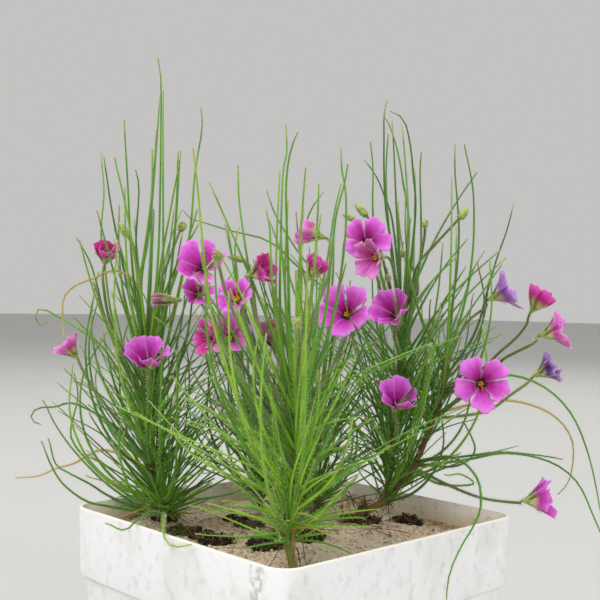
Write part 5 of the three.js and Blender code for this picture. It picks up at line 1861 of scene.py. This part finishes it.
MOSS_PATCHES = (
    Patch(182, 533, 12), Patch(250, 526, 10, 0.7), Patch(270, 548, 9), Patch(360, 522, 13),
    Patch(408, 522, 8, 0.6), Patch(300, 530, 8),
)
DARK_PATCHES = (
    Patch(216, 543, 11), Patch(203, 538, 8), Patch(266, 546, 12), Patch(282, 541, 8), Patch(308, 540, 11),
    Patch(236, 518, 8, 0.7), Patch(362, 522, 14), Patch(408, 522, 10), Patch(165, 520, 8, 0.7),
)
STRAND_PATCHES = (
    Patch(250, 525, 26), Patch(240, 518, 22), Patch(200, 530, 20), Patch(310, 530, 22),
    Patch(450, 522, 16), Patch(370, 530, 18), Patch(130, 512, 14),
)


@dataclass
class SoilBed:
    """The sandy soil, a crumbly top on a body that fills the planter."""

    form: PlanterForm = FORM
    splits: int = 150
    crumb: float = 0.55
    lump: float = 1.1
    gap: float = GAP
    fit_rounds: int = 5

    def top(self, shape: BMesh, half: float) -> None:
        """Lay the crumbly top, a grid drawn in to a rounded square.

        Args:
            shape: The shape that the grid is added to.
            half: Half its width.
        """
        bmesh.ops.create_grid(shape, x_segments=self.splits, y_segments=self.splits, size=half)
        rows = places_of(shape)
        x, y = rows[:, 0], rows[:, 1]
        target = np.maximum(np.abs(x), np.abs(y))
        for _ in range(self.fit_rounds):
            fit = target / np.maximum(self.form.reach(x, y), 1e-6)
            x, y = x * fit, y * fit
        edge = np.clip((half - target) / 4, 0.0, 1.0)
        z = self.form.soil_height(x, y)
        for vert, px, py, pz, inner in zip(shape.verts, x.tolist(), y.tolist(), z.tolist(), edge.tolist()):
            coarse = noise.fractal(Vector((px / 22, py / 22, 3.0)), 1.0, 2.0, 4)
            fine = noise.fractal(Vector((px / 3.2, py / 3.2, 9.0)), 0.8, 2.0, 3)
            vert.co = (px, py, pz + inner * (self.lump * coarse + self.crumb * fine))

    def build(self) -> Object:
        """Return the finished soil."""
        shape = bmesh.new()
        half = float(self.form.half_width(self.form.inner, self.form.soil_top)) - self.gap
        self.top(shape, half)
        straight = half - self.form.corner
        for z, inner in self.form.inner[1:]:
            rim = [edge for edge in shape.edges if edge.is_boundary]
            walls = bmesh.ops.extrude_edge_only(shape, edges=rim)["geom"]
            next_straight = inner - self.gap - self.form.corner
            for vert in (item for item in walls if isinstance(item, bmesh.types.BMVert)):
                for axis in (0, 1):
                    value = abs(vert.co[axis])
                    bend = max(0.0, value - straight)
                    moved = (value - bend) * next_straight / straight + bend
                    vert.co[axis] = math.copysign(moved, vert.co[axis])
                vert.co.z = z if z > self.form.floor else z + self.gap
            straight = next_straight
        bmesh.ops.edgeloop_fill(shape, edges=[edge for edge in shape.edges if edge.is_boundary])
        bmesh.ops.recalc_face_normals(shape, faces=shape.faces)
        rows = places_of(shape)
        mesh = mesh_from(shape)
        for name, patches in (("moss", MOSS_PATCHES), ("dark", DARK_PATCHES)):
            values = np.max([patch.cover(rows[:, 0], rows[:, 1]) for patch in patches], axis=0)
            set_values(mesh, name, values)
        make_smooth(mesh, 60.0)
        return place_piece("soil_bed", mesh, [SandySoil().make()], "soil", "soil")


@dataclass
class Scatter:
    """Many small copies of a shape, strewn on the soil or on some patches of it."""

    name: str
    finish: Speckled
    count: int
    smallest: float
    largest: float
    seed: int
    slot: str = "soil"
    patches: tuple[Patch, ...] = ()
    upright: bool = False
    spread: float = 96.0
    edge: float = 94.5
    sink: float = 0.25
    heap: float = 0.0

    def shape(self) -> BMesh:
        """Return one grain, or one leafy sprig of moss, about one millimetre across."""
        shape = bmesh.new()
        if self.upright:
            for number in range(4):
                lean = Matrix.Rotation(0.25 + 0.2 * number, 4, "X")
                turn = Matrix.Rotation(number * GOLDEN_TURN, 4, "Z")
                bmesh.ops.create_cone(shape, cap_ends=True, segments=3, radius1=0.24, radius2=0.03,
                                      depth=1.6, matrix=turn @ lean @ Matrix.Translation((0, 0, 0.6)))
        else:
            bmesh.ops.create_icosphere(shape, subdivisions=1, radius=0.5)
        bmesh.ops.recalc_face_normals(shape, faces=shape.faces)
        return shape

    def spots(self, draws: random.Random) -> Iterable[tuple[float, float]]:
        """Yield seeded places on the soil."""
        placed = 0
        while placed < self.count:
            if self.patches:
                patch = draws.choice(self.patches)
                distance = patch.radius * math.sqrt(draws.random())
                angle = draws.uniform(0.0, math.tau)
                x = patch.middle[0] + distance * math.cos(angle)
                y = patch.middle[1] + distance * math.sin(angle)
            else:
                x, y = (draws.uniform(-self.spread, self.spread) for _ in range(2))
            if FORM.reach(np.array(x), np.array(y)) < self.edge:
                placed += 1
                yield x, y

    def build(self) -> Object:
        """Return the finished strewn piece."""
        draws = random.Random(self.seed)
        template = self.shape()
        rest = places_of(template)
        mesh = copies(template, self.count)
        rows, tints = [], []
        for x, y in self.spots(draws):
            size = lerp(self.smallest, self.largest, draws.random() ** 2)
            turn = Matrix.Rotation(draws.uniform(0.0, math.tau), 3, "Z")
            if not self.upright:
                turn = turn @ Matrix.Rotation(draws.uniform(0.0, math.tau), 3, "X")
            stretch = np.array([draws.uniform(0.7, 1.3) for _ in range(3)])
            level = float(FORM.soil_height(x, y)) + size * self.sink
            if self.heap:
                level += self.heap * draws.random() * max(float(p.cover(x, y)) for p in self.patches) ** 2
            rows.append((rest * stretch * size) @ np.array(turn).T + np.array((x, y, level)))
            tints.append(np.full(len(rest), draws.random()))
        set_places(mesh, np.concatenate(rows))
        set_values(mesh, "tint", np.concatenate(tints))
        make_smooth(mesh, 50.0)
        return place_piece(self.name, mesh, [self.finish.make()], self.slot)


@dataclass
class Litter:
    """Dead leaves: strands that lie on the soil, and skirts that hang at the plants' feet."""

    strands: int = 70
    fibres: int = 170
    skirt: int = 6
    knot: int = 60
    strand_edge: float = 92.0
    skirt_edge: float = 93.0
    seed: int = 77

    def strand(self, patch: Patch, lengths: tuple[float, float], lift: float,
               draws: random.Random) -> Spine:
        """Return a strand that lies on the soil.

        Args:
            patch: Where it lies.
            lengths: The shortest and the longest that it may be.
            lift: How far it may stand off the soil.
            draws: Seeded draws.

        Returns:
            Its course.
        """
        middle = patch.middle[:2] + np.array([draws.gauss(0.0, patch.radius / 2) for _ in range(2)])
        heading = draws.uniform(0.0, math.tau)
        reach = draws.uniform(*lengths)
        points = []
        for share in (-0.5, -0.2, 0.15, 0.5):
            way = np.array((math.cos(heading), math.sin(heading)))
            x, y = np.clip(middle + way * reach * share, -self.strand_edge, self.strand_edge).tolist()
            points.append(np.array((x, y, float(FORM.soil_height(x, y)) + draws.uniform(0.4, lift))))
            heading += draws.uniform(-0.5, 0.5)
        return Spine(Curve(points))

    def curled(self, middle: Array, draws: random.Random) -> Spine:
        """Return a short dead strand in a knot round a stem."""
        start = middle + UP * draws.uniform(-7.0, 7.0)
        way = unit(np.array([draws.gauss(0.0, 1.0) for _ in range(3)]) + UP * 0.4)
        reach = draws.uniform(5.0, 11.0)
        aside = unit(np.cross(way, UP)) * draws.uniform(-0.4, 0.4)
        return Spine(Curve([start, start + way * reach * 0.6, start + (way + aside - UP * 0.4) * reach]))

    def hanging(self, foot: Array, draws: random.Random) -> Spine:
        """Return a dead leaf that hangs from a plant's foot onto the soil."""
        angle = draws.uniform(0.0, math.tau)
        out = np.array((math.cos(angle), math.sin(angle), 0.0))
        reach = draws.uniform(7.0, 20.0)
        start = foot + UP * draws.uniform(4.0, 20.0)
        middle = start + out * reach * 0.45 + UP * draws.uniform(-3.0, 3.0)
        end = foot + out * reach
        end[:2] = np.clip(end[:2], -self.skirt_edge, self.skirt_edge)
        end[2] = float(FORM.soil_height(end[0], end[1])) + draws.uniform(0.4, 1.5)
        return Spine(Curve([start, middle, end]))

    def build(self, feet: list[Array], knots: list[Array]) -> Object:
        """Return the finished litter.

        Args:
            feet: Where the plants' stems leave the soil.
            knots: Where dead leaves are matted on the stems.

        Returns:
            The piece.
        """
        draws = random.Random(self.seed)
        bundle = Bundle(sides=5, rings=8)
        spines = [(self.strand(draws.choice(STRAND_PATCHES), (14.0, 42.0), 2.4, draws), 0.5, 1.0)
                  for _ in range(self.strands)]
        spines += [(self.strand(draws.choice(DARK_PATCHES), (6.0, 22.0), 6.0, draws), 0.4, 0.3)
                   for _ in range(self.fibres)]
        spines += [(self.hanging(foot, draws), 0.7, 0.6) for foot in feet for _ in range(self.skirt)]
        spines += [(self.curled(knot, draws), 0.6, 0.35) for knot in knots for _ in range(self.knot)]
        for spine, root, palest in spines:
            bundle.add(spine, lambda share, a=root: a * (1 - 0.6 * share), 0.6, draws.random() * palest)
        return place_piece("dead_leaves", bundle.mesh(), [DEAD.make()], "foliage")


@dataclass
class Tuft:
    """A plant as it is shown: leaves and stalks, stems, buds and flower cups, and sticky hairs."""

    plant: Plant
    skins: dict[str, Material]
    hook: float = 2.6
    short_share: float = 0.72
    painted_light_depth: float = 130.0
    dry_rise: float = -0.1
    dry_share: float = 0.3
    stem_sides: int = 10
    cup_heights: tuple[float, ...] = (-4.2, -2.0, 0.3)
    cup_radius: float = 2.5
    neck_radius: float = 0.8
    sepal_length: float = 9.0
    sepal_share: float = 0.66
    sepal_width: float = 0.95
    sepal_flat: float = 0.32

    def tint(self, thread: Thread, draws: random.Random) -> float:
        """Return a thread's tint: brighter towards the front of the planter as painted light,
        or dry for a few that arch.
        """
        rises = thread.curve.headings(np.array([1.0]))[0][2]
        if thread.gauge is LEAF and rises < self.dry_rise and draws.random() < self.dry_share:
            return DRY_TINT
        # Painted light: threads whose tips lie near the front of the planter take brighter greens.
        away = float(thread.centres[-1] @ VIEW.away)
        front = max(0.0, min(1.0, 0.5 - away / self.painted_light_depth))
        return max(0.0, min(1.0, front * 0.4 + draws.uniform(0.0, 0.6) - 0.08))

    def build(self) -> None:
        """Build the plant's pieces."""
        label = self.plant.name.removeprefix("plant_")
        draws = random.Random(self.plant.plan.seed)
        leaves, stalks, short = Bundle(), Bundle(), Bundle(5, 12)
        coat, thin_coat = HairCoat(seed=self.plant.plan.seed), HairCoat(hairs=9, seed=self.plant.plan.seed)
        thick_coat = HairCoat(hairs=34, drop=0.15, seed=self.plant.plan.seed)
        for bundle, hairs, gauge, threads in (
                (leaves, coat, LEAF, self.plant.leaves), (stalks, thick_coat, STALK, self.plant.stalks),
                (short, thin_coat, LEAF, self.plant.short_leaves)):
            hook = self.hook if gauge is LEAF else 0.0
            for thread in threads:
                spine = Spine(thread.curve, hook * draws.uniform(-1.0, 1.0))
                root, tip = gauge.shown_root, gauge.shown_tip
                if bundle is short:
                    root, tip = root * self.short_share, tip * self.short_share
                bundle.add(spine, lambda share, a=root, b=tip: a + (b - a) * share ** 0.9, 1.0,
                           self.tint(thread, draws))
                hairs.cover(spine, root, tip, gauge.hair * draws.uniform(0.8, 1.2), draws.uniform(0, 6))
        place_piece(f"leaves_{label}", leaves.mesh(), [self.skins["leaf"]], "foliage", self.plant.name)
        place_piece(f"short_leaves_{label}", short.mesh(), [self.skins["leaf"]], "foliage")
        if self.plant.stalks:
            place_piece(f"stalks_{label}", stalks.mesh(), [self.skins["stalk"]], "foliage")
            self.build_buds(label, draws, thick_coat)
            place_piece(f"stalk_hairs_{label}", thick_coat.mesh(), [self.skins["hair"]], "foliage")
        place_piece(f"hairs_{label}", coat.mesh(), [self.skins["hair"]], "foliage")
        place_piece(f"short_hairs_{label}", thin_coat.mesh(), [self.skins["hair"]], "foliage")
        stems = Bundle(self.stem_sides, 30)
        for thread in self.plant.stems:
            foot = thread.curve.points.copy()
            foot[0] = foot[0] - UP * thread.gauge.root * 2
            root, tip = thread.gauge.root, thread.gauge.tip
            stems.add(Spine(Curve(foot)), lambda share, a=root, b=tip: self.knobbly(share, a, b), 1.0,
                      STEM_GREENS.get(self.plant.name, 0.2) + draws.uniform(-0.1, 0.1))
        place_piece(f"stems_{label}", stems.mesh(), [self.skins["bark"]], "foliage")

    def knobbly(self, share: Array, root: float, tip: float) -> Array:
        """Return a stem's radius at shares of its length, with small swellings."""
        return (root + (tip - root) * share) * (1 + 0.07 * np.sin(share * 60) + 0.04 * np.sin(share * 143))

    def build_buds(self, label: str, draws: random.Random, coat: HairCoat) -> None:
        """Build the buds and the flowers' cups of sepals.

        Args:
            label: The plant's short name.
            draws: Seeded draws.
            coat: The plant's hairs, which cover the cups as well.
        """
        buds = Bundle(self.stem_sides, 16)
        for bud, thread in self.plant.buds:
            heading = thread.curve.headings(np.array([1.0]))[0]
            middle = thread.centres[-1]
            ends = [middle + heading * bud.length * share for share in (-0.55, 0.0, 0.62)]
            spine = Spine(Curve(ends))
            buds.add(spine, lambda share, b=bud: self.bud_width(share, b), 0.92, draws.uniform(0.2, 1.0))
            coat.cover(spine, bud.radius, bud.radius * 0.7, 0.8, draws.uniform(0, 6))
        for bloom in self.plant.blooms:
            tint = draws.uniform(0.2, 1.0)
            longest = min(self.sepal_length, self.sepal_share * bloom.plan.petal)
            for number in range(bloom.PETALS):
                course, side = bloom.sepal(number, longest * draws.uniform(0.85, 1.1),
                                           2.4 * draws.random() ** 2)
                spine = Spine(Curve(course), side=side)
                buds.add(spine, self.sepal_shape, self.sepal_flat, tint)
                coat.cover(spine, self.sepal_width * 0.7, 0.2, 0.8, draws.uniform(0, 6))
            cup = Spine(Curve([bloom.to_model(0.0, 0.0, height) for height in self.cup_heights]))
            buds.add(cup, self.cup_shape, 1.0, tint * 0.4)
            coat.cover(cup, self.neck_radius, self.cup_radius, 0.9, draws.uniform(0, 6))
        place_piece(f"buds_{label}", buds.mesh(), [self.skins["bud"]], "foliage")

    def bud_width(self, share: Array, bud: BudPlan) -> Array:
        """Return a bud's radius at shares of its length: a ball, or pointed above if it is long."""
        point, full = (0.75, 0.8) if bud.length > 2.4 * bud.radius else (1.0, 0.5)
        return bud.radius * np.sin(math.pi * np.clip(share, 0.01, 0.99) ** point) ** full + 0.05

    def cup_shape(self, share: Array) -> Array:
        """Return a cup's radius at shares of its height."""
        return lerp(self.neck_radius, self.cup_radius, share ** 0.7)

    def sepal_shape(self, share: Array) -> Array:
        """Return a sepal's half width at shares of its length."""
        return self.sepal_width * np.sin(math.pi * (0.3 + 0.67 * share)) ** 0.9 + 0.08


@dataclass
class Corolla:
    """A flower's five petals, thin waved sheets that overlap at their feet."""

    bloom: Bloom
    skins: list[Material]
    open_turn: float = 0.58
    closed_turn: float = 0.95
    opens_fully: float = 62.0
    opens_over: float = 18.0
    columns: int = 12
    rows: int = 15
    twist: float = 0.4
    wave: float = 0.85
    teeth: float = 0.035
    skew: float = 0.08
    throat: float = 1.2
    throat_share: float = 0.25
    thickness: float = 0.25

    def petal(self, shape: BMesh, number: int, draws: random.Random) -> None:
        """Lay one petal on the flower.

        Args:
            shape: The shape that it is added to.
            number: Which petal.
            draws: Seeded draws.
        """
        bloom = self.bloom
        sheet = bmesh.ops.create_grid(shape, x_segments=self.columns, y_segments=self.rows, size=1.0,
                                      calc_uvs=True)["verts"]
        flat = np.array([vert.co for vert in sheet])
        across, up = flat[:, 0], (flat[:, 1] + 1) / 2
        phase = draws.uniform(0.0, math.tau)
        ragged = np.sin(across * 6 + phase) + 0.4 * np.sin(across * 17 + phase * 3)
        slant = draws.uniform(-self.skew, self.skew)
        short = draws.uniform(0.0, 0.05) + abs(slant) + slant * across + self.teeth * (ragged + 1) * up ** 2
        along = up * (1 - short * up)
        closed = min(1.0, max(0.0, (self.opens_fully - bloom.plan.open) / self.opens_over))
        most = lerp(self.open_turn, self.closed_turn, closed)
        radius, angle, height = bloom.petal_angles(number, along, across, most)
        crumple = 2.4 if bloom.plan.tone is Tone.WILTED else 1.0
        size = bloom.plan.petal / 15
        ripple = np.sin(across * 4.2 + phase) * 0.6 + np.sin(across * 8.5 + phase * 2) * 0.3
        lift = self.wave * (crumple + closed) * ripple * up ** 1.5 + self.twist * (1 + 2 * closed) * across
        lift += draws.uniform(-0.3, 0.9) * across ** 2 * up + draws.uniform(-1.0, 1.4) * crumple * up ** 3
        lean = bloom.lean(along)
        drawn = self.throat * np.clip(1 - up / self.throat_share, 0.0, 1.0) ** 2
        radius = radius - drawn + lift * size * np.cos(lean)
        height = height - drawn - lift * size * np.sin(lean)
        angle = angle + draws.uniform(-0.08, 0.08) * up
        for vert, place in zip(sheet, bloom.to_model(radius, angle, height)):
            vert.co = place

    def build(self) -> Object:
        """Return the finished corolla."""
        draws = random.Random(self.bloom.seed * 13 + 1)
        shape = bmesh.new()
        shape.loops.layers.uv.new("petal")
        for number in range(self.bloom.PETALS):
            self.petal(shape, number, draws)
        for face in shape.faces:
            face.smooth = True
        label = self.bloom.label
        piece = place_piece(f"corolla_{label}", mesh_from(shape), self.skins,
                            SLOTS[self.bloom.plan.tone], f"petals_{label}")
        shell = piece.modifiers.new("thickness", "SOLIDIFY")
        shell.thickness = self.thickness * MM
        shell.offset = 0.0
        shell.material_offset = 1
        return piece


@dataclass
class Heart:
    """An open flower's heart: five full anthers that lean together and a thin style to one side."""

    bloom: Bloom
    anther: Material
    style: Material
    length: float = 3.6
    width: float = 0.66
    lean: float = 0.38
    foot: float = 0.6
    style_length: float = 7.0
    style_radius: float = 0.28

    def build(self) -> None:
        """Build the anthers and the style."""
        bloom = self.bloom
        draws = random.Random(bloom.seed + 400)
        anthers = Bundle(7, 8)
        for number in range(bloom.PETALS):
            angle = bloom.spin + number * math.tau / bloom.PETALS
            points = []
            for up in (0.0, 0.5, 1.0):
                out = self.foot + self.length * up * math.sin(self.lean) * draws.uniform(0.6, 1.2)
                height = bloom.STAMEN_HEIGHT + self.length * up * math.cos(self.lean)
                points.append(bloom.to_model(out, angle + 0.25 * up, height))
            anthers.add(Spine(Curve(points)), self.anther_width, 0.8, draws.random())
        label = bloom.label
        place_piece(f"anthers_{label}", anthers.mesh(), [self.anther], "stamen", f"stamens_{label}")
        side = draws.uniform(0.0, math.tau)
        points = []
        for up in (0.0, 0.4, 0.75, 1.0):
            height = bloom.PETAL_HEIGHT + self.style_length * (0.2 + 0.75 * up - 0.25 * up ** 2)
            points.append(bloom.to_model(0.2 + 0.62 * self.style_length * up, side, height))
        thread = Bundle(6, 10)
        thread.add(Spine(Curve(points)), self.style_width, 1.0, 0.5)
        place_piece(f"style_{label}", thread.mesh(), [self.style], "petal")

    def anther_width(self, share: Array) -> Array:
        """Return an anther's radius at shares of its length: thin below and long and full above."""
        return self.width * np.sin(math.pi * np.clip(share, 0.06, 0.97) ** 0.7) ** 0.7

    def style_width(self, share: Array) -> Array:
        """Return the style's radius at shares of its length, with a knob at its end."""
        return self.style_radius * (1 + 0.9 * np.clip((share - 0.85) / 0.15, 0.0, 1.0))


@dataclass
class Studio:
    """The floor, the lights and the camera."""

    floor_size: float = 20.0
    key_power: float = 112.0
    fill_power: float = 70.0
    back_power: float = 45.0
    sky: float = 0.55
    focal_length: float = 57.0
    sensor: float = 36.0

    def build(self) -> None:
        """Set the scene round the plant."""
        shape = bmesh.new()
        bmesh.ops.create_grid(shape, x_segments=1, y_segments=1, size=self.floor_size)
        floor = add_object("floor", mesh_from(shape))
        floor.data.materials.append(FLOOR.make())
        target = Vector((0.0, 0.0, 0.27))
        self.light("key", Vector((-0.9, -2.4, 3.4)), target, 2.6, self.key_power)
        self.light("fill", Vector((3.6, -0.7, 2.1)), target, 3.2, self.fill_power)
        self.light("back", Vector((-1.4, 2.8, 3.1)), target, 2.8, self.back_power)
        world = bpy.data.worlds.new("studio")
        world.use_nodes = True
        background = world.node_tree.nodes["Background"]
        background.inputs["Color"].default_value = (1.0, 0.99, 0.97, 1.0)
        background.inputs["Strength"].default_value = self.sky
        bpy.context.scene.world = world
        bpy.context.scene.view_settings.view_transform = "Standard"
        self.camera()

    def light(self, name: str, place: Vector, target: Vector, size: float, power: float) -> None:
        """Hang a soft lamp.

        Args:
            name: The lamp's name.
            place: Where it hangs, in metres.
            target: What it points at.
            size: Its width.
            power: Its power in watts.
        """
        lamp = bpy.data.lights.new(name, "AREA")
        lamp.size = size
        lamp.energy = power
        item = add_object(name, lamp)
        item.location = place
        item.rotation_euler = (target - place).to_track_quat("-Z", "Y").to_euler()

    def camera(self) -> None:
        """Set the camera where the view of the drawing is taken from."""
        lens = bpy.data.cameras.new("camera")
        lens.lens = self.focal_length
        lens.sensor_width = self.sensor
        lens.clip_start = 0.02
        item = add_object("camera", lens)
        axes = np.array((VIEW.right, VIEW.top, -VIEW.forward)).T
        item.matrix_world = Matrix.Translation(Vector(VIEW.eye) * MM) @ Matrix(axes.tolist()).to_4x4()
        bpy.context.scene.camera = item


def grow() -> tuple[list[Plant], list[Bloom]]:
    """Grow the plants by the rules of the design.

    Returns:
        The plants and the flowers.
    """
    room = Room()
    plants = [Plant(plan, room) for plan in (PLANT_LEFT, PLANT_FRONT, PLANT_RIGHT, PLANT_REAR,
                                             PLANT_LEFT_REAR)]
    blooms = [Bloom(plan, index) for index, plan in enumerate(BLOOMS)]
    for bloom in blooms:
        room.add(bloom.label, bloom.balls())
    by_name = {plant.name: plant for plant in plants}
    for bloom in blooms:
        by_name[bloom.plan.plant].add_bloom(bloom)
    for plant in plants:
        plant.add_buds()
    for plant in plants:
        plant.add_leaves()
    for plant in plants:
        plant.add_rule_leaves()
    for plant in plants:
        plant.add_tiers(plants, blooms)
    return plants, blooms


def main() -> None:
    """Build the planter, its soil, the plants and flowers, and the studio."""
    logging.basicConfig(level=logging.INFO, format="%(message)s")
    Studio().build()
    Planter().build()
    SoilBed().build()
    plants, blooms = grow()
    skins = {
        "leaf": LeafSkin().make(),
        "stalk": LeafSkin("stalk_skin", "475829", "74864a", "98a85e").make(),
        "hair": HAIR.make(),
        "bark": BARK.make(),
        "bud": BudSkin().make(),
    }
    for plant in plants:
        Tuft(plant, skins).build()
    petals = {tone: [skin.make(side) for side in Side] for tone, skin in PETAL_SKINS.items()}
    anther, style = ANTHER.make(), STYLE.make()
    for bloom in blooms:
        Corolla(bloom, petals[bloom.plan.tone]).build()
        if bloom.has_stamens:
            Heart(bloom, anther, style).build()
    Scatter("sand_grains", GRAINS, 1800, 0.6, 2.6, 3).build()
    Scatter("moss_sprigs", MOSS, 950, 0.9, 2.3, 4, patches=MOSS_PATCHES, upright=True, heap=1.5).build()
    Scatter("humus_crumbs", HUMUS, 1100, 1.0, 4.2, 6, patches=DARK_PATCHES, heap=4.0).build()
    left, front, right = plants[:3]
    knots = [left.nearest((152, 466)), front.nearest((300, 508))]
    knots += [right.nearest(place) for place in ((408, 474), (388, 494), (366, 510))]
    Litter().build([plant.foot for plant in plants], knots)


if __name__ == "__main__":
    main()
